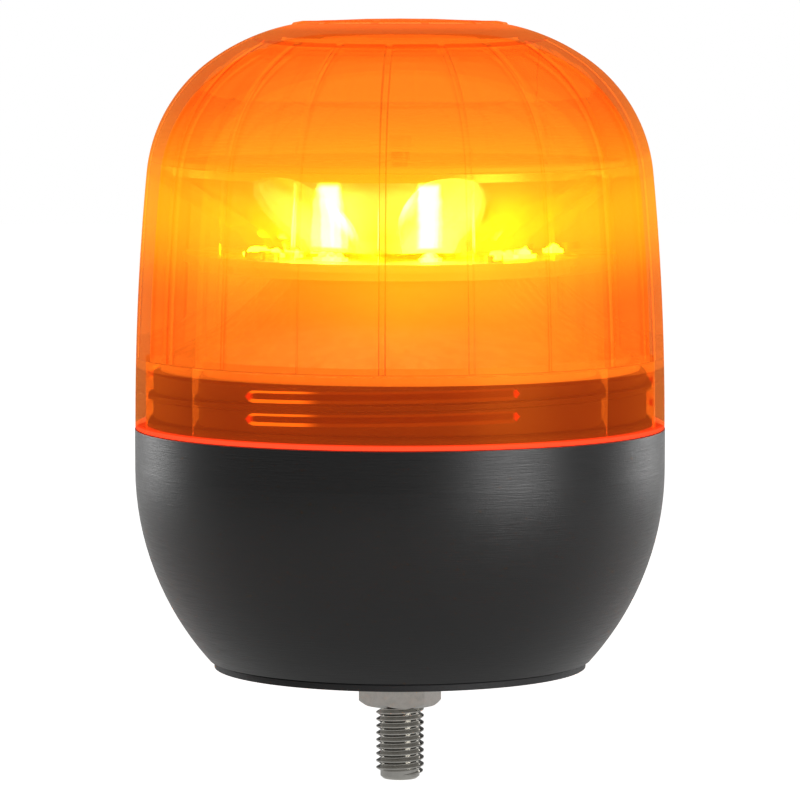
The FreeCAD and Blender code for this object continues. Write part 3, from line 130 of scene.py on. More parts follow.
class BeaconThreads(bpy.types.PropertyGroup):
    """Sizes of the threads and of the stud."""

    stud_pitch: length("Stud pitch", "Pitch of the stud's thread", 1.75)
    stud_core: length("Stud core", "Core radius of the stud's thread", 4.93)
    stud_radius: length("Stud radius", "Outside radius of the stud's thread", 6.0)
    stud_chamfer: length("Stud chamfer", "Chamfer at the tip of the stud's core", 0.6)
    stud_thread_root: length("Stud thread root", "Height of the stud's thread at its root", 1.715)
    stud_thread_crest: length("Stud thread crest", "Height of the stud's thread at its crest", 0.28)
    stud_thread_start: number("Stud thread start", "Pitches from the stud's tip to its thread", 0.75)
    stud_thread_end: number("Stud thread end", "Pitches from the thread's end to the bolt's head", 1.25)
    stud_thread_taper: angle("Stud thread taper", "Angle over which an end of the thread sinks", 150)
    head_height: length("Head height", "Height of the bolt's head", 7.5)
    head_flats: length("Head flats", "Width of the bolt's head across its flats", 18)
    head_face: number("Head face", "Radius of the head's round faces as a share of the flats'", 0.98)
    lens_pitch: length("Lens pitch", "Pitch of the lens's thread", 6.0)
    lens_thread_depth: length("Lens thread depth", "How far the lens's thread stands in", 1.45)
    lens_thread_root: length("Lens thread root", "Height of the lens's thread at its root", 2.9)
    lens_thread_crest: length("Lens thread crest", "Height of the lens's thread at its crest", 1.508)
    lens_thread_lift: length("Lens thread lift", "Height of the lower stretch above the lens's foot", 6.92)
    lens_thread_turn: angle("Lens thread turn", "Angle of a stretch's middle", -94.4)
    lens_thread_sweep: angle("Lens thread sweep", "Angle of one stretch of thread", 62)
    lens_thread_taper: angle("Lens thread taper", "Angle over which an end of a stretch sinks", 1.6)
    lens_thread_count: IntProperty(name="Stretches", description="Pairs of stretches of thread", default=3)
    stretch_gap: length("Stretch gap", "Between the two stretches of a pair", 5.45)
    neck_thread_depth: length("Neck thread depth", "How far the collar's thread stands out", 1.3)
    neck_thread_root: length("Neck thread root", "Height of the collar's thread at its root", 2.0)
    neck_thread_crest: length("Neck thread crest", "Height of the collar's thread at its crest", 1.2)
    neck_thread_drop: length("Neck thread drop", "From the neck's top down to the thread's middle", 5.03)
    neck_thread_sweep: angle("Neck thread sweep", "Angle that the collar's thread covers", 420)
    neck_thread_taper: angle("Neck thread taper", "Angle over which an end of the thread sinks", 12)
    sunk: length("Sunk", "How deep a thread's root lies in the piece that carries it", 0.1)
    lens_sunk: length("Sunk in the lens", "The same for the lens's thread, in its thin skirt", 0.02)


class BeaconColours(bpy.types.PropertyGroup):
    """Colours of the finishes, as sRGB hex values, and the painted light that the amber lens carries."""

    amber: colour("Amber", "Polycarbonate of the lens", "#FFDAA0")
    amber_deep: colour("Deep amber", "What a thick piece of the lens lets through", "#FF5A0C")
    dye_density: number("Dye density", "How much the dye takes from the light on a metre", 12)
    refraction: number("Refraction", "Index by which the lens bends light", 1.22)
    amber_haze: colour("Amber haze", "What the lens scatters and mirrors", "#FF9A30")
    straight_share: number("Straight", "Share of light that goes through the lens unbent", 0.5)
    haze_share: number("Haze", "Share of light that the lens scatters", 0.04)
    gloss_share: number("Gloss", "Share of light that the lens mirrors", 0.01)
    # painted glow on the lens: a faint veil over the whole lens, stronger on the crown's top
    painted_veil: colour("Amber veil", "Light that the whole lens scatters", "#FF6128")
    painted_veil_strength: number("Veil", "Strength of that light", 0.115)
    painted_crown_glow: number("Crown glow", "Light that the crown's top scatters", 0.26)
    crown_glow_height: length("Crown glow height", "Height where that glow is whole", 160.5)
    crown_glow_fade: length("Crown glow fade", "Height over which it fades in", 2)
    # a painted glow belt at the LEDs' height, strongest towards the front, in place of their light in the
    # wall
    painted_belt_colour: colour("Amber glow", "Light of the LEDs in the lens's wall", "#FFD400")
    painted_belt_strength: number("Glow", "Strength of that light", 0.3)
    belt_low: length("Glow foot", "Height where the lens starts to glow with its LEDs' light", 80)
    belt_middle: length("Glow middle", "Height where the lens glows most", 108)
    belt_high: length("Glow top", "Height where that glow ends", 146)
    belt_rise: number("Glow rise", "How steeply the glow's foot rises aside", 0.2)
    belt_reach: length("Glow reach", "How far aside that glow sinks", 62)
    belt_side: number("Glow aside", "Share of the glow that is left there", 0.75)
    # a painted red glow along the lens's foot, also on the ends of the thread's stretches
    painted_red_glow: colour("Amber edge", "Light that leaves the wall at its foot", "#FF3A28")
    edge_height: length("Edge height", "Height up to which that light is whole", 61.1)
    edge_fade: length("Edge fade", "Height over which it fades out", 0.3)
    # painted highlights on the thread's flanks, bright at the left and faint beyond, and a painted glow at
    # its ends
    painted_flank_highlight: colour("Lit flank", "Light that leaves the thread's flanks", "#FFA040")
    lit_reach: length("Lit reach", "How far from the left the flanks are bright", -18.5)
    lit_fade: length("Lit fade", "Length over which that light sinks", 6)
    faint_flank: number("Faint flank", "Light of the flanks beyond that", 0.1)
    thread_end: number("Thread end", "Light that leaves a stretch's end", 0.9)
    clear_thread: colour("Clear thread", "What the thread lets through", "#FFF0E4")
    led_light: colour("LED light", "What the LEDs shine", "#FFC01C")
    painted_streak: colour("Streak light", "An LED as a cup shows it", "#FFF6E0")
    silicone: colour("LED silicone", "Phosphor dome", "#FFE08A")
    black_coat: colour("Black coat", "Powder coat of the base", "#0C0C0D")
    black_nylon: colour("Black nylon", "Moulded collar", "#2A1A14")
    black_rubber: colour("Black rubber", "Gasket, seal and grommet", "#232324")
    white_abs: colour("White ABS", "Pedestal and reflector cap", "#F4F2EC")
    zinc: colour("Zinc", "Zinc plating of bolt and nut", "#B9B7B2")
    steel: colour("Steel", "Turned steel", "#A9A9A8")
    brass: colour("Brass", "Turned brass", "#C9A45A")
    aluminium: colour("Aluminium", "Plain sheet", "#C4C5C7")
    acetal: colour("Acetal", "Gears", "#E9E5D8")
    solder_mask: colour("Green solder mask", "Circuit boards", "#1C5A36")
    green_plastic: colour("Green plastic", "Terminal block", "#2E8B4B")
    sleeve: colour("Capacitor sleeve", "Sleeve of the capacitor", "#1B2440")


class BeaconStage(bpy.types.PropertyGroup):
    """Camera, lamps, floor, the light of the LEDs and the painted light on the reflector."""

    camera_distance: length("Camera distance", "From the middle of the picture", 1174)
    camera_height: angle("Camera elevation", "Angle above level", 4.8)
    focal_length: number("Focal length", "In millimetres", 211.3)
    aim_height: length("Aim height", "Height of the middle of the picture", 66.8)
    lamp_aim: length("Lamp aim", "Height that the lamps look at", 70)
    floor_reach: length("Floor reach", "Half the width of the floor", 3000)
    floor_gap: length("Floor gap", "Between the stud's tip and the floor", 0.3)
    floor_colour: colour("Floor", "Pale floor", "#F7F7F6")
    floor_glow: number("Floor glow", "Light that keeps the floor white to the camera", 0.97)
    floor_mirrored: number("Mirrored floor", "Share of that light that a mirror shows", 0.42)
    sky_light: number("Sky light", "Strength of the world's light on the pieces", 0.12)
    led_strength: number("LED strength", "Light of an LED dome", 420.0)
    # bars of light painted on the two front cups in place of their LEDs' reflections
    left_bar: length("Left bar", "Place of the left bar of light from the middle", -16.8)
    right_bar: length("Right bar", "Place of the right bar of light from the middle", 6.9)
    bar_width: length("Bar width", "Width over which a bar's light is whole", 4.2)
    bar_fade: length("Bar fade", "Width over which a bar fades out at its side", 0.8)
    bar_wobble: length("Bar wobble", "How far a bar's edges wander", 0.8)
    bar_low: length("Bar foot", "Height where a cup's bar of light is whole", 106.5)
    bar_low_fade: length("Bar foot fade", "Height over which it fades in below", 1)
    bar_high: length("Bar top", "Height where a cup's bar of light ends", 123.5)
    bar_high_fade: length("Bar top fade", "Height over which it fades out up to there", 2)
    bar_front: length("Bar front", "How far in front of the axis the bars are whole", 2)
    painted_bar_strength: number("Bar strength", "Light of such a bar", 11.0)
    # a faint painted glow on the whole reflector
    painted_cup_glow: number("Cup glow", "Light that the whole reflector throws back", 0.15)


# -------- surfaces


def arc(centre, radius, start, end, count):
    """Points on a circle: centre plus radius times (cosine, sine) of evenly spaced angles."""
    angles = np.linspace(start, end, count)
    return np.column_stack([centre[0] + radius * np.cos(angles), centre[1] + radius * np.sin(angles)])


def angle_at(centre, curve, radius):
    """Angle on an arc of a centre and a curve where it has a radius from Z."""
    return math.acos((radius - centre[0]) / curve)


def inward(profile):
    """Unit normals of a profile: its tangent turned by a quarter, towards the origin."""
    along = np.gradient(profile, axis=0)
    along /= np.linalg.norm(along, axis=1)[:, None] + 1e-12
    normals = np.column_stack([-along[:, 1], along[:, 0]])
    outwards = (normals * profile).sum(axis=1) > 0
    return normals * np.where(outwards, -1, 1)[:, None]


def spin(profile, angles):
    """Carry a profile about Z: x is radius times cosine, y is radius times sine, z stays.

    The profile is one for all angles or one for each, and the angles are one for a whole profile
    or one for each of its points.
    """
    radius = np.broadcast_to(profile[..., 0], (len(angles), *profile.shape[-2:-1]))
    height = np.broadcast_to(profile[..., 1], radius.shape)
    turn = angles.reshape(len(angles), -1)
    return np.stack([radius * np.cos(turn), radius * np.sin(turn), height], axis=-1)


def surface(name, points, wrap_u=True, wrap_v=True, sharp=SHARP):
    """Mesh a grid of points; each quad joins point (u, v) to its neighbours, and wraps where asked.

    Points that fall together, as at a pole, are merged, and the normals are turned outwards.
    """
    rows, columns = points.shape[:2]
    index = np.arange(rows * columns).reshape(rows, columns)
    here = index if wrap_u else index[:-1]
    beside = np.roll(index, -1, axis=0) if wrap_u else index[1:]
    if wrap_v:
        quads = np.stack([here, beside, np.roll(beside, -1, axis=1), np.roll(here, -1, axis=1)], axis=-1)
    else:
        quads = np.stack([here[:, :-1], beside[:, :-1], beside[:, 1:], here[:, 1:]], axis=-1)
    mesh = bpy.data.meshes.new(name)
    mesh.from_pydata(points.reshape(-1, 3).tolist(), [], quads.reshape(-1, 4).tolist())
    work = bmesh.new()
    work.from_mesh(mesh)
    bmesh.ops.remove_doubles(work, verts=work.verts, dist=1e-7)
    bmesh.ops.dissolve_degenerate(work, edges=work.edges, dist=1e-8)
    bmesh.ops.recalc_face_normals(work, faces=work.faces)
    work.to_mesh(mesh)
    work.free()
    mesh.shade_smooth()
    mesh.set_sharp_from_angle(angle=sharp)
    piece = bpy.data.objects.new(name, mesh)
    bpy.context.collection.objects.link(piece)
    return piece


def turned(name, profile, count):
    """A closed profile of radius and height, carried once about Z."""
    angles = np.linspace(0, CIRCLE, count, endpoint=False)
    return surface(name, spin(np.asarray(profile, float), angles))


def helical_ridge(name, radii, heights, start_height, pitch, start, sweep, taper, steps):
    """A thread: a four-sided section carried up a helix.

    Height is start_height plus pitch times the turns made. The section's root lies at the first
    radius with the first height, its crest at the second with the second, and the crest sinks to
    the root by a sine of the angle from either end over the taper.
    """
    along = np.linspace(0, sweep, steps)
    rise = np.sin(np.clip(np.minimum(along, sweep - along) / taper, 0, 1) * QUARTER)[:, None]
    root, crest = radii
    outward = np.array([0, 1, 1, 0])
    upward = np.array([-heights[0], -heights[1], heights[1], heights[0]]) / 2
    # the ends keep a trace of their depth, so that root and crest stay apart
    reach = root + (crest - root) * outward * np.maximum(rise, 0.001)
    height = start_height + pitch * along[:, None] / CIRCLE + upward * rise
    section = np.stack([reach, height], axis=-1)
    piece = surface(name, spin(section, start + along), wrap_u=False, sharp=math.radians(50))
    close_ends(piece)
    return piece


def close_ends(piece):
    """Fill the open ends of a swept section."""
    work = bmesh.new()
    work.from_mesh(piece.data)
    bmesh.ops.holes_fill(work, edges=work.edges, sides=8)
    bmesh.ops.recalc_face_normals(work, faces=work.faces)
    work.to_mesh(piece.data)
    work.free()


def hexagon(name, flats, face_share, low, high):
    """A hexagon piece: its radius is half its flats over the cosine of the angle from a flat's middle.

    Both ends are turned down by a cone of 30 degrees, to a round face that is a share of the flats.
    """
    sixth = math.pi / 3
    angles = np.linspace(0, CIRCLE, 96, endpoint=False) + sixth / 2
    corners = flats / 2 / np.cos(np.abs(angles % sixth - sixth / 2))
    face = flats / 2 * face_share
    drop = (corners - face) * math.tan(sixth / 2)
    # the rows: the low face's middle and rim, the flats' two ends, the high face's rim and middle
    radius = corners[:, None] * np.array([0, 0, 1, 1, 0, 0]) + face * np.array([0, 1, 0, 0, 1, 0])
    height = np.array([low, low, low, high, high, high]) + drop[:, None] * np.array([0, 0, 1, -1, 0, 0])
    section = np.stack([radius, height], axis=-1)
    return surface(name, spin(section, angles), wrap_v=False, sharp=math.radians(20))


def join(name, pieces):
    """Several pieces in one object."""
    work = bmesh.new()
    for piece in pieces:
        mesh = piece.data
        work.from_mesh(mesh)
        bpy.data.objects.remove(piece)
        bpy.data.meshes.remove(mesh)
    mesh = bpy.data.meshes.new(name)
    work.to_mesh(mesh)
    work.free()
    mesh.set_sharp_from_angle(angle=SHARP)
    whole = bpy.data.objects.new(name, mesh)
    bpy.context.collection.objects.link(whole)
    return whole


# -------- the lens's surface

# a rib's section: places across it in half widths, and its height there as a share of its depth
RIB_PLACES = np.array([-1.35, -1.0, -0.8, 0, 0.8, 1.0, 1.35])
RIB_HEIGHTS = np.array([0, 0.35, 1, 1, 1, 0.35, 0])
# number of columns between two ribs
BETWEEN_RIBS = 7
# height of a raised arc at the rows across it, as a share
CREST_SHARES = np.array([0.6, 1, 1, 0.6])
# where the columns of each raised arc and gap start, as a share of a sector's columns
CREST_STARTS = np.array([0, 0.62, 0.66, 0.94])


def lens_arcs(size):
    """Centres of the section's arcs, each touching the next, and the lean where the side ends."""
    side = np.array([lens_high[0] - size.side_curve, lens_low[2]])
    span = size.side_curve - size.shoulder_curve
    lean = math.asin((size.shoulder_height - lens_low[2]) / span)
    shoulder = side + span * np.array([math.cos(lean), math.sin(lean)])
    step = size.crown_curve - size.shoulder_curve
    crown = shoulder - step * np.array([math.cos(size.crown_angle), math.sin(size.crown_angle)])
    return SimpleNamespace(side=side, lean=lean, shoulder=shoulder, crown=crown)


def outer_profile(size, arcs):
    """The outside from the foot to the middle of the crown, and the first row of the raised arcs.

    Side, shoulder and crown are arcs, and from the crown's highest circle a shallow dome runs up to
    the axis, to the top of the lens's box. The side starts two roundings above the foot.
    """
    foot = lens_low[2]
    rounding = size.foot_rounding
    edge = size.crest_edge
    crest_inner = size.crest_inner
    crest_outer = crest_inner + size.crest_width
    crest_start = angle_at(arcs.crown, size.crown_curve, crest_outer + edge)
    rising = np.vstack([
        arc((lens_high[0] - rounding, foot + rounding), rounding, -QUARTER, 0, 4),
        arc(arcs.side, size.side_curve, 2 * rounding / size.side_curve, arcs.lean, 40),
        arc(arcs.shoulder, size.shoulder_curve, arcs.lean, size.crown_angle, 36)[1:],
        arc(arcs.crown, size.crown_curve, size.crown_angle, crest_start, 24)[1:],
    ])
    radii = (crest_outer, crest_outer - 2 * edge, crest_inner + 2 * edge, crest_inner, crest_inner - edge)
    turns = [angle_at(arcs.crown, size.crown_curve, radius) for radius in radii]
    crest = np.vstack([arc(arcs.crown, size.crown_curve, turn, turn, 1) for turn in turns])
    level = arc(arcs.crown, size.crown_curve, turns[-1], QUARTER, 8)[1:]
    top = arcs.crown[1] + size.crown_curve
    dome = lens_high[2] - top
    middle = [[arcs.crown[0] / 2, top + size.dome_share * dome], [0, top + dome]]
    return np.vstack([rising, crest, level, middle]), len(rising)


def inner_profile(size, arcs):
    """The inside from the middle of the crown to the foot: the plain, the ribbed and the skirt's part.

    It is the outside's arcs set in by the wall, with a ring where the ribs end and a ledge at the
    top of the skirt.
    """
    foot = lens_low[2]
    curve = size.crown_curve - size.wall
    top = arcs.crown[1] + curve
    half = size.ring_width / 2
    ring_inner = angle_at(arcs.crown, curve, size.ring_radius - half)
    ring_outer = angle_at(arcs.crown, curve, size.ring_radius + half)
    plain = np.vstack([
        [[0, top]],
        arc(arcs.crown, curve, QUARTER, ring_inner, 14),
        arc(arcs.crown, curve, ring_inner, ring_outer, 2) - [0, size.ring_depth],
    ])
    side_curve = size.side_curve - size.wall
    ledge_angle = math.asin(size.skirt_height / side_curve)
    ribbed = np.vstack([
        arc(arcs.crown, curve, ring_outer, size.crown_angle, 16),
        arc(arcs.shoulder, size.shoulder_curve - size.wall, size.crown_angle, arcs.lean, 28)[1:],
        arc(arcs.side, side_curve, arcs.lean, ledge_angle, 24)[1:],
    ])
    radius = lens_high[0] - size.skirt_wall
    ledge = foot + size.skirt_height
    rounding = size.foot_rounding
    skirt = np.array([
        [radius, ledge], [radius, (ledge + foot) / 2], [radius, foot + rounding], [radius + rounding, foot],
    ])
    return plain, ribbed, skirt


def rib_columns(size, radii):
    """Angles of the columns in each row: close ones over every rib, even ones between two ribs."""
    near = RIB_PLACES[:, None] * size.rib_width / 2 / radii
    pitch = CIRCLE / size.rib_count
    between = np.linspace(0, 1, BETWEEN_RIBS + 2)[1:-1, None]
    one_rib = np.vstack([near, near[-1] + between * (pitch + near[0] - near[-1])])
    ribs = size.rib_turn + pitch * np.arange(size.rib_count)
    return (ribs[:, None, None] + one_rib).reshape(-1, len(radii))


def crest_columns(size, count):
    """Angles of the columns that pass the raised arcs, and which of them are raised.

    Each sector of the circle has a long arc about its start, a gap, a short arc and a gap. Two
    columns stand close at each end of an arc, and the others are even between them.
    """
    sector = CIRCLE / size.crest_count
    half = size.crest_long / 2
    share = count // size.crest_count
    ends = np.array([-half, half, half + size.crest_gap, sector - half - size.crest_gap])
    starts = np.round(share * CREST_STARTS)
    angles = np.append(ends[:, None] + [-size.crest_bend, size.crest_bend], sector - half - size.crest_bend)
    marks = np.append(starts[:, None] + [0, 1], share)
    columns = np.interp(np.arange(share), marks, angles)
    raised = (np.abs(columns) < half) | ((columns > ends[2]) & (columns < ends[3]))
    sectors = sector * np.arange(size.crest_count)[:, None] + size.crest_turn
    return (sectors + columns).reshape(-1), np.tile(raised, size.crest_count)


def lens_points(size):
    """The lens's surface: its section carried about Z to the angle of every column.

    At a rib the inside moves in along its normal by the rib's depth times a soft box function of
    the distance from the rib's middle. At a raised arc the outside moves up by the arc's height
    times a box function of the angle.
    """
    arcs = lens_arcs(size)
    outer, crest_from = outer_profile(size, arcs)
    plain, ribbed, skirt = inner_profile(size, arcs)
    profile = np.vstack([outer, plain, ribbed, skirt])
    crest_to = crest_from + len(CREST_SHARES)
    ribs_from = len(outer) + len(plain)
    ribs_to = ribs_from + len(ribbed)

    # inside the ring the columns keep the ring's angles, and the raised arcs have columns of their own
    angles = rib_columns(size, np.maximum(profile[:, 0], size.ring_radius))
    crest_angles, raised = crest_columns(size, len(angles))
    angles[:, crest_from - 1:crest_to + 1] = crest_angles[:, None]

    normals = inward(profile)[ribs_from:ribs_to]
    # the ribs' feet stand on the level ledge, so they move straight in
    normals[-1] = [-1, 0]
    depths = np.tile(np.append(RIB_HEIGHTS, np.zeros(BETWEEN_RIBS)), size.rib_count) * size.rib_depth
    sections = np.tile(profile, (len(angles), 1, 1))
    sections[:, ribs_from:ribs_to] += depths[:, None, None] * normals
    sections[:, crest_from:crest_to, 1] += raised[:, None] * size.crest_height * CREST_SHARES
    return spin(sections, angles)


# -------- materials


def linear(value):
    """An sRGB hex value as linear red, green, blue and alpha."""
    shares = np.array([int(value[place:place + 2], 16) / 255 for place in (1, 3, 5)])
    low = shares / 12.92
    high = ((shares + 0.055) / 1.055) ** 2.4
    return (*np.where(shares <= 0.04045, low, high).tolist(), 1.0)


def add(tree, kind, inputs=None, **settings):
    """Add a node. Inputs are values or sockets to link; settings are the node's own properties."""
    node = tree.nodes.new(kind)
    for key, value in settings.items():
        setattr(node, key, value)
    for key, value in (inputs or {}).items():
        socket = node.inputs[key]
        if isinstance(value, bpy.types.NodeSocket):
            tree.links.new(value, socket)
        else:
            socket.default_value = value
    return node


def blank(name):
    """A material with an empty tree, its output and its object coordinates."""
    material = bpy.data.materials.new(name)
    material.use_nodes = True
    tree = material.node_tree
    tree.nodes.clear()
    output = add(tree, "ShaderNodeOutputMaterial")
    place = add(tree, "ShaderNodeTexCoord").outputs["Object"]
    return material, tree, output, place


def parts(tree, vector):
    """The X, Y and Z of a vector."""
    return add(tree, "ShaderNodeSeparateXYZ", {"Vector": vector}).outputs


def grain(tree, place, size, detail=3.0, stretch=(1, 1, 1)):
    """Noise whose largest grain has a size in metres, stretched along the axes."""
    mapping = add(tree, "ShaderNodeMapping", {"Vector": place, "Scale": stretch})
    inputs = {"Vector": mapping.outputs["Vector"], "Scale": 1 / size, "Detail": detail, "Roughness": 0.6}
    return add(tree, "ShaderNodeTexNoise", inputs).outputs["Fac"]


def spread(tree, factor, low, high):
    """Map noise, which lies mostly between 0.3 and 0.7, to a range of numbers."""
    inputs = {"Value": factor, "From Min": 0.3, "From Max": 0.7, "To Min": low, "To Max": high}
    return add(tree, "ShaderNodeMapRange", inputs).outputs["Result"]


def tint(tree, factor, first, second):
    """Blend two hex colours by a factor; the Mix node's colour sockets are its inputs 6 and 7."""
    inputs = {0: factor, 6: linear(first), 7: linear(second)}
    return add(tree, "ShaderNodeMix", inputs, data_type="RGBA").outputs[2]


def calculate(tree, operation, *values):
    """One sum on numbers or sockets."""
    return add(tree, "ShaderNodeMath", dict(enumerate(values)), operation=operation).outputs[0]


def fade(tree, value, nothing, whole, least=0.0):
    """Smoothly from the least to 1 while a value goes from one place to another."""
    inputs = {"Value": value, "From Min": nothing, "From Max": whole, "To Min": least}
    return add(tree, "ShaderNodeMapRange", inputs, interpolation_type="SMOOTHSTEP").outputs["Result"]


def shine(tree, value, strength):
    """Light of a hex colour."""
    return add(tree, "ShaderNodeEmission", {"Color": linear(value), "Strength": strength}).outputs["Emission"]


def see_through(tree, value):
    """Light that goes straight on, tinted by a hex colour."""
    return add(tree, "ShaderNodeBsdfTransparent", {"Color": linear(value)}).outputs["BSDF"]


def blend(tree, share, first, second):
    """Two shaders mixed; the share is that of the second."""
    return add(tree, "ShaderNodeMixShader", {0: share, 1: first, 2: second}).outputs["Shader"]


def both(tree, first, second):
    """Two shaders added up."""
    return add(tree, "ShaderNodeAddShader", {0: first, 1: second}).outputs["Shader"]


def relief(tree, height, distance):
    """Bump from a height map, with its depth in metres."""
    return add(tree, "ShaderNodeBump", {"Height": height, "Distance": distance}).outputs["Normal"]


def finish(name, first, second, size, rough, depth, metallic=0.0, stretch=(1, 1, 1)):
    """A solid finish: two close shades, a range of roughness and a fine relief, all from one grain.

    The grain's size and the relief's depth are in millimetres.
    """
    material, tree, output, place = blank(name)
    noise = grain(tree, place, size * MM, stretch=stretch)
    shader = add(tree, "ShaderNodeBsdfPrincipled", {
        "Base Color": tint(tree, noise, first, second),
        "Roughness": spread(tree, noise, *rough),
        "Normal": relief(tree, noise, depth * MM),
        "Metallic": metallic,
    })
    tree.links.new(shader.outputs["BSDF"], output.inputs["Surface"])
    return material


def painted_belt_share(tree, look, across, height):
    """How much painted glow each place of the lens's wall carries, in place of the LEDs' light.

    The share rises from the belt's foot to its middle and sinks to its top. Its foot lies higher
    the further a place is from the middle, and the whole sinks there to a share of its own.
    """
    aside = calculate(tree, "ABSOLUTE", across)
    lowered = calculate(tree, "MULTIPLY_ADD", aside, -look.belt_rise, height)
    below = fade(tree, lowered, look.belt_low, look.belt_middle)
    above = fade(tree, height, look.belt_high, look.belt_middle)
    facing = fade(tree, aside, look.belt_reach, 0.0, least=look.belt_side)
    return calculate(tree, "MULTIPLY", calculate(tree, "MULTIPLY", below, above), facing)


def amber_polycarbonate_painted_glow(look):
    """Moulded clear polycarbonate dyed amber: the thicker it is on the way through, the redder it gets.

    Its wall also carries painted glow in place of the LEDs' scattered light: most at their height, and
    most where they face the front. A faint painted veil covers the whole lens, stronger on the crown's
    top, and a painted red line runs along its foot.
    """
    material, tree, output, place = blank("amber_polycarbonate_painted_glow")
    where = parts(tree, place)
    height = where["Z"]
    ripple = relief(tree, grain(tree, place, 12 * MM, detail=1.0), 0.02 * MM)
    clear = add(tree, "ShaderNodeBsdfRefraction", {
        "Color": linear(look.amber), "Roughness": 0.02, "IOR": look.refraction, "Normal": ripple,
    })
    straight = see_through(tree, look.amber)
    haze = add(tree, "ShaderNodeBsdfTranslucent", {"Color": linear(look.amber_haze)})
    gloss = add(tree, "ShaderNodeBsdfGlossy", {"Color": linear(look.amber_haze), "Roughness": 0.3})
    shader = blend(tree, look.straight_share, clear.outputs["BSDF"], straight)
    shader = blend(tree, look.haze_share, shader, haze.outputs["BSDF"])
    shader = blend(tree, look.gloss_share, shader, gloss.outputs["BSDF"])

    # painted glow: emission on the lens, though it is no lamp, for a belt at the LEDs' height, a veil, the
    # crown's top and a red line at the foot
    belt = calculate(tree, "MULTIPLY", painted_belt_share(tree, look, where["X"], height), look.painted_belt_strength)
    crown = fade(tree, height, look.crown_glow_height - look.crown_glow_fade, look.crown_glow_height)
    veil = calculate(tree, "MULTIPLY_ADD", crown, look.painted_crown_glow, look.painted_veil_strength)
    foot = fade(tree, height, look.edge_height + look.edge_fade, look.edge_height)
    for value, strength in ((look.painted_belt_colour, belt), (look.painted_veil, veil), (look.painted_red_glow, foot)):
        shader = both(tree, shader, shine(tree, value, strength))

    shadow = add(tree, "ShaderNodeLightPath").outputs["Is Shadow Ray"]
    inputs = {"Color": linear(look.amber_deep), "Density": look.dye_density}
    dye = add(tree, "ShaderNodeVolumeAbsorption", inputs)
    tree.links.new(blend(tree, shadow, shader, straight), output.inputs["Surface"])
    tree.links.new(dye.outputs["Volume"], output.inputs["Volume"])
    return material


def amber_thread_painted_highlights(look):
    """The lens's own polycarbonate, with painted highlights on its thread's flanks in place of the
    light that the wall carries.

    A face is a flank where its normal has a large part along the axis, and the flanks carry a painted
    highlight, bright at the left and faint beyond. A face is a stretch's end where it looks round the
    axis: its place crossed with its normal has a large part along the axis. The ends carry a painted
    red glow.
    """
    material, tree, output, place = blank("amber_thread_painted_highlights")
    geometry = add(tree, "ShaderNodeNewGeometry").outputs
    axial = calculate(tree, "ABSOLUTE", parts(tree, geometry["True Normal"])["Z"])
    # a face is no flank below the first share and wholly one above the second
    flank = fade(tree, axial, 0.3, 0.5)
    crossed = add(tree, "ShaderNodeVectorMath", {
        0: geometry["Position"], 1: geometry["True Normal"],
    }, operation="CROSS_PRODUCT").outputs["Vector"]
    round_axis = calculate(tree, "ABSOLUTE", parts(tree, crossed)["Z"])
    # the same for an end, as a distance from the axis times such a share
    end = fade(tree, round_axis, 20 * MM, 35 * MM)
    # the flanks' painted highlight, bright at the left; the ends' painted red glow follows
    left = fade(tree, parts(tree, place)["X"], look.lit_reach, look.lit_reach - look.lit_fade)
    strength = calculate(tree, "MULTIPLY_ADD", left, 1.0, look.faint_flank)
    clear = see_through(tree, look.clear_thread)
    lined = both(tree, clear, shine(tree, look.painted_flank_highlight, strength))
    flanked = blend(tree, flank, clear, lined)
    tipped = blend(tree, end, flanked, shine(tree, look.painted_red_glow, look.thread_end))
    tree.links.new(tipped, output.inputs["Surface"])
    return material


def led_silicone(look, stage):
    """Silicone with phosphor over an LED chip: it shines."""
    material, tree, output, place = blank("led_silicone")
    shader = add(tree, "ShaderNodeBsdfPrincipled", {
        "Base Color": tint(tree, grain(tree, place, 0.8 * MM), look.silicone, "#FFF2C0"),
        "Roughness": 0.3,
        "Emission Color": linear(look.led_light),
        "Emission Strength": stage.led_strength,
    })
    tree.links.new(shader.outputs["BSDF"], output.inputs["Surface"])
    return material


def metallised_reflector_painted_light(look, stage):
    """Vapour-coated plastic: nearly a mirror. The two front cups carry an upright painted bar of light,
    a painted reflection of their LEDs, and the whole reflector a faint painted glow.

    A bar's strength is one within half its width of its middle and fades to nothing just outside,
    on a line that wanders with the grain. It also fades out near its foot and its top.
    """
    material, tree, output, place = blank("metallised_reflector_painted_light")
    noise = grain(tree, place, 4 * MM)
    x, y, z = parts(tree, place)
    wobble = calculate(tree, "MULTIPLY_ADD", noise, 2 * stage.bar_wobble, -stage.bar_wobble)
    half = stage.bar_width / 2
    # painted bars of light: emission on the mirror in place of the LEDs' reflections in the two front cups
    bars = []
    for middle in (stage.left_bar, stage.right_bar):
        aside = calculate(tree, "ABSOLUTE", calculate(tree, "SUBTRACT", x, middle))
        wavy = calculate(tree, "ADD", aside, wobble)
        bars.append(fade(tree, wavy, half + stage.bar_fade, half))
    across = calculate(tree, "MAXIMUM", *bars)
    front = fade(tree, y, 0.0, -stage.bar_front)
    low = fade(tree, z, stage.bar_low - stage.bar_low_fade, stage.bar_low)
    high = fade(tree, z, stage.bar_high, stage.bar_high - stage.bar_high_fade)
    upright = calculate(tree, "MULTIPLY", front, calculate(tree, "MULTIPLY", low, high))
    bar = calculate(tree, "MULTIPLY", across, upright)
    shader = add(tree, "ShaderNodeBsdfPrincipled", {
        "Base Color": tint(tree, noise, "#F4F4F2", "#EAEAE6"),
        "Metallic": 1.0,
        "Roughness": spread(tree, noise, 0.16, 0.26),
        "Normal": relief(tree, noise, 0.03 * MM),
        "Emission Color": tint(tree, bar, look.led_light, look.painted_streak),
        "Emission Strength": calculate(tree, "MULTIPLY_ADD", bar, stage.painted_bar_strength, stage.painted_cup_glow),
    })
    tree.links.new(shader.outputs["BSDF"], output.inputs["Surface"])
    return material


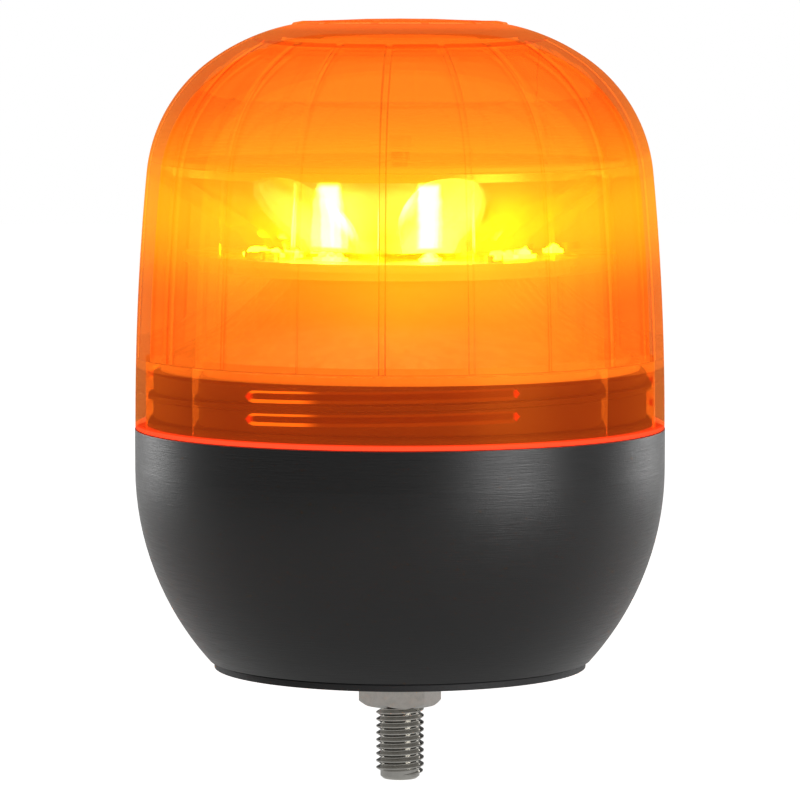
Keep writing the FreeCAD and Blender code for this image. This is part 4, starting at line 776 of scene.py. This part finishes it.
def make_finishes(look, stage):
    """All the finishes, by the record's slot; the lens's thread has one more."""
    # the coat's grain is drawn out level and pressed together upright
    level = (0.15, 0.15, 6.0)
    return {
        # clear polycarbonate dyed amber, with painted glow
        "amber_lens": amber_polycarbonate_painted_glow(look),
        # the same polycarbonate with painted highlights on its flanks and a painted red glow at its ends
        "amber_thread_painted_highlights": amber_thread_painted_highlights(look),
        # silicone with phosphor: a shining dome
        "led_silicone": led_silicone(look, stage),
        # vapour-coated plastic: nearly a mirror, with painted bars of light and a faint painted glow
        "chrome_reflector": metallised_reflector_painted_light(look, stage),
        # powder coat on a turned bowl: satin, with faint level streaks
        "black_housing": finish(
            "black_powder_coat", look.black_coat, "#141415", 1.2, (0.3, 0.42), 0.04, stretch=level
        ),
        # moulded nylon: dull, even
        "black_nylon": finish("black_nylon", look.black_nylon, "#33211A", 0.6, (0.45, 0.6), 0.02),
        # rubber: matt with a fine grain
        "black_rubber": finish("black_rubber", look.black_rubber, "#2E2E2F", 0.5, (0.55, 0.75), 0.03),
        # moulded ABS: bright, slightly glossy
        "white_plastic": finish("white_abs", look.white_abs, "#ECEAE2", 4, (0.22, 0.32), 0.01),
        # zinc plating: pale metal with a faint cloud
        "zinc_steel": finish("zinc_plated_steel", look.zinc, "#A5A39E", 1.5, (0.1, 0.2), 0.01, metallic=1.0),
        # turned steel: grey metal with fine marks
        "steel": finish("turned_steel", look.steel, "#969695", 0.5, (0.25, 0.4), 0.01, metallic=1.0),
        # turned brass: warm metal with fine marks
        "brass": finish("turned_brass", look.brass, "#B8934A", 0.5, (0.25, 0.38), 0.01, metallic=1.0),
        # plain aluminium sheet: pale, a little dull
        "aluminium_plate": finish(
            "plain_aluminium", look.aluminium, "#B5B6B8", 0.8, (0.3, 0.45), 0.01, metallic=1.0
        ),
        # moulded acetal: milky, waxy
        "gear_nylon": finish("moulded_acetal", look.acetal, "#DDD8C8", 2, (0.35, 0.45), 0.01),
        # solder mask: green lacquer over the board's weave
        "circuit_board": finish("green_solder_mask", look.solder_mask, "#174A2D", 1.5, (0.25, 0.4), 0.02),
        # moulded polyamide: green, dull
        "green_plastic": finish("green_polyamide", look.green_plastic, "#27793F", 1, (0.35, 0.5), 0.02),
        # shrunk sleeve: dark blue, glossy
        "capacitor_sleeve": finish("capacitor_sleeve", look.sleeve, "#222D4E", 2, (0.2, 0.3), 0.01),
    }


finishes = {}


def dress(piece, name):
    """Give a piece one finish."""
    piece.data.materials.clear()
    piece.data.materials.append(finishes[name])


# -------- stage


def seen(tree, rays):
    """One for what the camera sees, straight or through the lens, and zero for all other rays."""
    return calculate(tree, "MAXIMUM", rays["Is Camera Ray"], rays["Is Transmission Ray"])


def build_floor(stage):
    """A pale sheet under the stud. It glows to the camera and a little to a mirror, and to nothing else."""
    reach = stage.floor_reach
    ground = bolt_low[2] - stage.floor_gap
    corners = [(-1, -1), (1, -1), (1, 1), (-1, 1)]
    mesh = bpy.data.meshes.new("floor")
    mesh.from_pydata([(x * reach, y * reach, ground) for x, y in corners], [], [(0, 1, 2, 3)])
    floor = bpy.data.objects.new("floor", mesh)
    bpy.context.collection.objects.link(floor)
    # matt paint, pale
    material, tree, output = blank("pale_floor")[:3]
    paint = add(tree, "ShaderNodeBsdfDiffuse", {"Color": linear(stage.floor_colour)}).outputs["BSDF"]
    rays = add(tree, "ShaderNodeLightPath").outputs
    mirrored = calculate(tree, "MULTIPLY", rays["Is Glossy Ray"], stage.floor_mirrored)
    share = calculate(tree, "MAXIMUM", seen(tree, rays), mirrored)
    dark = shine(tree, stage.floor_colour, 0.0)
    glow = blend(tree, share, dark, shine(tree, stage.floor_colour, stage.floor_glow))
    tree.links.new(both(tree, paint, glow), output.inputs["Surface"])
    mesh.materials.append(material)
    return floor


def build_world(stage):
    """White to the camera and dim to the pieces."""
    world = bpy.data.worlds.new("studio")
    world.use_nodes = True
    tree = world.node_tree
    tree.nodes.clear()
    rays = add(tree, "ShaderNodeLightPath").outputs
    strength = add(tree, "ShaderNodeMapRange", {"Value": seen(tree, rays), "To Min": stage.sky_light})
    sky = add(tree, "ShaderNodeBackground", {"Color": (1, 1, 1, 1), "Strength": strength.outputs["Result"]})
    add(tree, "ShaderNodeOutputWorld", {"Surface": sky.outputs["Background"]})
    return world


def build_lamp(name, place, power, width, aim_height):
    """A round area lamp that looks at the axis; the lens doesn't show it."""
    lamp = bpy.data.lights.new(name, "AREA")
    lamp.energy = power
    lamp.size = width
    lamp.shape = "DISK"
    holder = bpy.data.objects.new(name, lamp)
    holder.location = place
    holder.visible_transmission = False
    aim = Vector((0, 0, aim_height)) - Vector(place)
    holder.rotation_euler = aim.to_track_quat("-Z", "Y").to_euler()
    bpy.context.collection.objects.link(holder)


def build_camera(stage):
    """A long lens in front, a little above level."""
    view = bpy.data.cameras.new("camera")
    view.lens = stage.focal_length
    view.sensor_width = 36
    view.clip_end = 20
    camera = bpy.data.objects.new("camera", view)
    bpy.context.collection.objects.link(camera)
    level = stage.camera_distance * math.cos(stage.camera_height)
    rise = stage.camera_distance * math.sin(stage.camera_height)
    camera.location = (0, -level, stage.aim_height + rise)
    camera.rotation_euler = (QUARTER - stage.camera_height, 0, 0)
    return camera


# -------- operators


class BEACON_OT_finishes(bpy.types.Operator):
    """Make the finishes and give each CAD node its own"""

    bl_idname = "beacon.finishes"
    bl_label = "Finishes"

    def execute(self, context):
        """Assign materials to the CAD nodes by their slot in the record."""
        finishes.update(make_finishes(context.scene.beacon_colours, context.scene.beacon_stage))
        for entry in frame["record"]["subparts"]:
            dress(frame["nodes"][entry["node"]], entry["material_slot"])
        return {"FINISHED"}


class BEACON_OT_lens(bpy.types.Operator):
    """Build the ribbed lens"""

    bl_idname = "beacon.lens"
    bl_label = "Lens"

    def execute(self, context):
        """Carry the lens's section about Z.

        Outside, the section is three touching arcs from the foot to the crown, then nearly level
        to the axis. Inside, it is the same arcs set in by the wall, with ribs down to the skirt.
        """
        piece = surface("ribbed_lens", lens_points(context.scene.beacon_lens))
        dress(piece, "amber_lens")
        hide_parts("lens")
        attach(piece, "lens_cover")
        return {"FINISHED"}


class BEACON_OT_lens_thread(bpy.types.Operator):
    """Build the thread stretches inside the lens's skirt"""

    bl_idname = "beacon.lens_thread"
    bl_label = "Lens thread"

    def execute(self, context):
        """Three pairs of short ridges on a right-hand helix."""
        size = context.scene.beacon_threads
        root = lens_high[0] - context.scene.beacon_lens.skirt_wall + size.lens_sunk
        sweep = size.lens_thread_sweep
        low = lens_low[2] + size.lens_thread_lift - size.lens_pitch * sweep / CIRCLE / 2
        ridges = []
        for third in range(size.lens_thread_count):
            for level in range(2):
                ridges.append(helical_ridge(
                    f"ridge_{third}_{level}",
                    radii=(root, root - size.lens_thread_depth),
                    heights=(size.lens_thread_root, size.lens_thread_crest),
                    start_height=low + level * size.stretch_gap,
                    pitch=size.lens_pitch,
                    start=size.lens_thread_turn + CIRCLE * third / size.lens_thread_count - sweep / 2,
                    sweep=sweep,
                    taper=size.lens_thread_taper,
                    steps=72,
                ))
        piece = join("lens_thread", ridges)
        dress(piece, "amber_thread_painted_highlights")
        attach(piece, "lens_cover")
        return {"FINISHED"}


class BEACON_OT_collar_thread(bpy.types.Operator):
    """Build the thread on the collar"""

    bl_idname = "beacon.collar_thread"
    bl_label = "Collar thread"

    def execute(self, context):
        """One right-hand ridge between the seal and the top of the neck, its middle at the front."""
        size = context.scene.beacon_threads
        sweep = size.neck_thread_sweep
        piece = helical_ridge(
            "collar_thread",
            radii=(neck_high[0] - size.sunk, neck_high[0] + size.neck_thread_depth),
            heights=(size.neck_thread_root, size.neck_thread_crest),
            start_height=neck_high[2] - size.neck_thread_drop - size.lens_pitch * sweep / CIRCLE / 2,
            pitch=size.lens_pitch,
            start=-QUARTER - sweep / 2,
            sweep=sweep,
            taper=size.neck_thread_taper,
            steps=360,
        )
        dress(piece, "black_nylon")
        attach(piece, "base")
        return {"FINISHED"}


class BEACON_OT_stud(bpy.types.Operator):
    """Build the threaded stud and its head"""

    bl_idname = "beacon.stud"
    bl_label = "Stud"

    def execute(self, context):
        """A core with a chamfered tip, a helical ridge about it and a hexagon head."""
        size = context.scene.beacon_threads
        tip = bolt_low[2]
        head_top = bolt_high[2]
        head_low = head_top - size.head_height
        core = size.stud_core
        chamfer = size.stud_chamfer
        profile = [[0, tip], [core - chamfer, tip], [core, tip + chamfer], [core, head_low], [0, head_low]]
        shaft = turned("stud_core", profile, count=96)
        pitch = size.stud_pitch
        turns = (head_low - tip) / pitch - size.stud_thread_start - size.stud_thread_end
        thread = helical_ridge(
            "stud_thread",
            radii=(core - size.sunk, size.stud_radius),
            heights=(size.stud_thread_root, size.stud_thread_crest),
            start_height=tip + pitch * size.stud_thread_start,
            pitch=pitch,
            start=-QUARTER,
            sweep=CIRCLE * turns,
            taper=size.stud_thread_taper,
            steps=1600,
        )
        head = hexagon("bolt_head", size.head_flats, size.head_face, head_low, head_top)
        piece = join("threaded_stud", [shaft, thread, head])
        dress(piece, "zinc_steel")
        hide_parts("mounting_bolt")
        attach(piece, "base")
        return {"FINISHED"}


class BEACON_OT_stage(bpy.types.Operator):
    """Set up floor, lamps, world and camera"""

    bl_idname = "beacon.stage"
    bl_label = "Stage"

    def execute(self, context):
        """A pale floor under the stud, the world, three soft lamps and the camera."""
        scene = context.scene
        stage = scene.beacon_stage
        floor = build_floor(stage)
        scene.world = build_world(stage)
        # a lamp's name, its place in metres, its power in watts and its width in metres
        for name, place, power, width in (
            ("left_rim_light", (-1.2, 0.9, 0.15), 7.0, 0.7),
            ("right_rim_light", (1.2, 0.9, 0.15), 7.0, 0.7),
            ("right_softbox", (1.1, -1.0, 0.05), 16.0, 0.8),
        ):
            build_lamp(name, place, power, width, stage.lamp_aim)
        scene.camera = build_camera(stage)
        scene.view_settings.view_transform = "Standard"
        return {"FINISHED"}


class BEACON_PT_panel(bpy.types.Panel):
    """Buttons that build the beacon"""

    bl_label = "Rotating Beacon"
    bl_space_type = "VIEW_3D"
    bl_region_type = "UI"
    bl_category = "Beacon"

    def draw(self, context):
        """List the operators."""
        for operator in OPERATORS:
            self.layout.operator(operator.bl_idname)


GROUPS = {
    "beacon_lens": BeaconLens,
    "beacon_threads": BeaconThreads,
    "beacon_colours": BeaconColours,
    "beacon_stage": BeaconStage,
}
OPERATORS = (
    BEACON_OT_finishes,
    BEACON_OT_lens,
    BEACON_OT_lens_thread,
    BEACON_OT_collar_thread,
    BEACON_OT_stud,
    BEACON_OT_stage,
)


def register():
    """Register the classes and hang the properties on the scene."""
    for kind in (*GROUPS.values(), *OPERATORS, BEACON_PT_panel):
        bpy.utils.register_class(kind)
    for name, group in GROUPS.items():
        setattr(bpy.types.Scene, name, PointerProperty(type=group))


def unregister():
    """Undo register."""
    for name in GROUPS:
        delattr(bpy.types.Scene, name)
    for kind in reversed((*GROUPS.values(), *OPERATORS, BEACON_PT_panel)):
        bpy.utils.unregister_class(kind)


def main():
    """Build everything in order."""
    register()
    for operator in OPERATORS:
        group, name = operator.bl_idname.split(".")
        getattr(getattr(bpy.ops, group), name)()


if __name__ == "__main__":
    main()
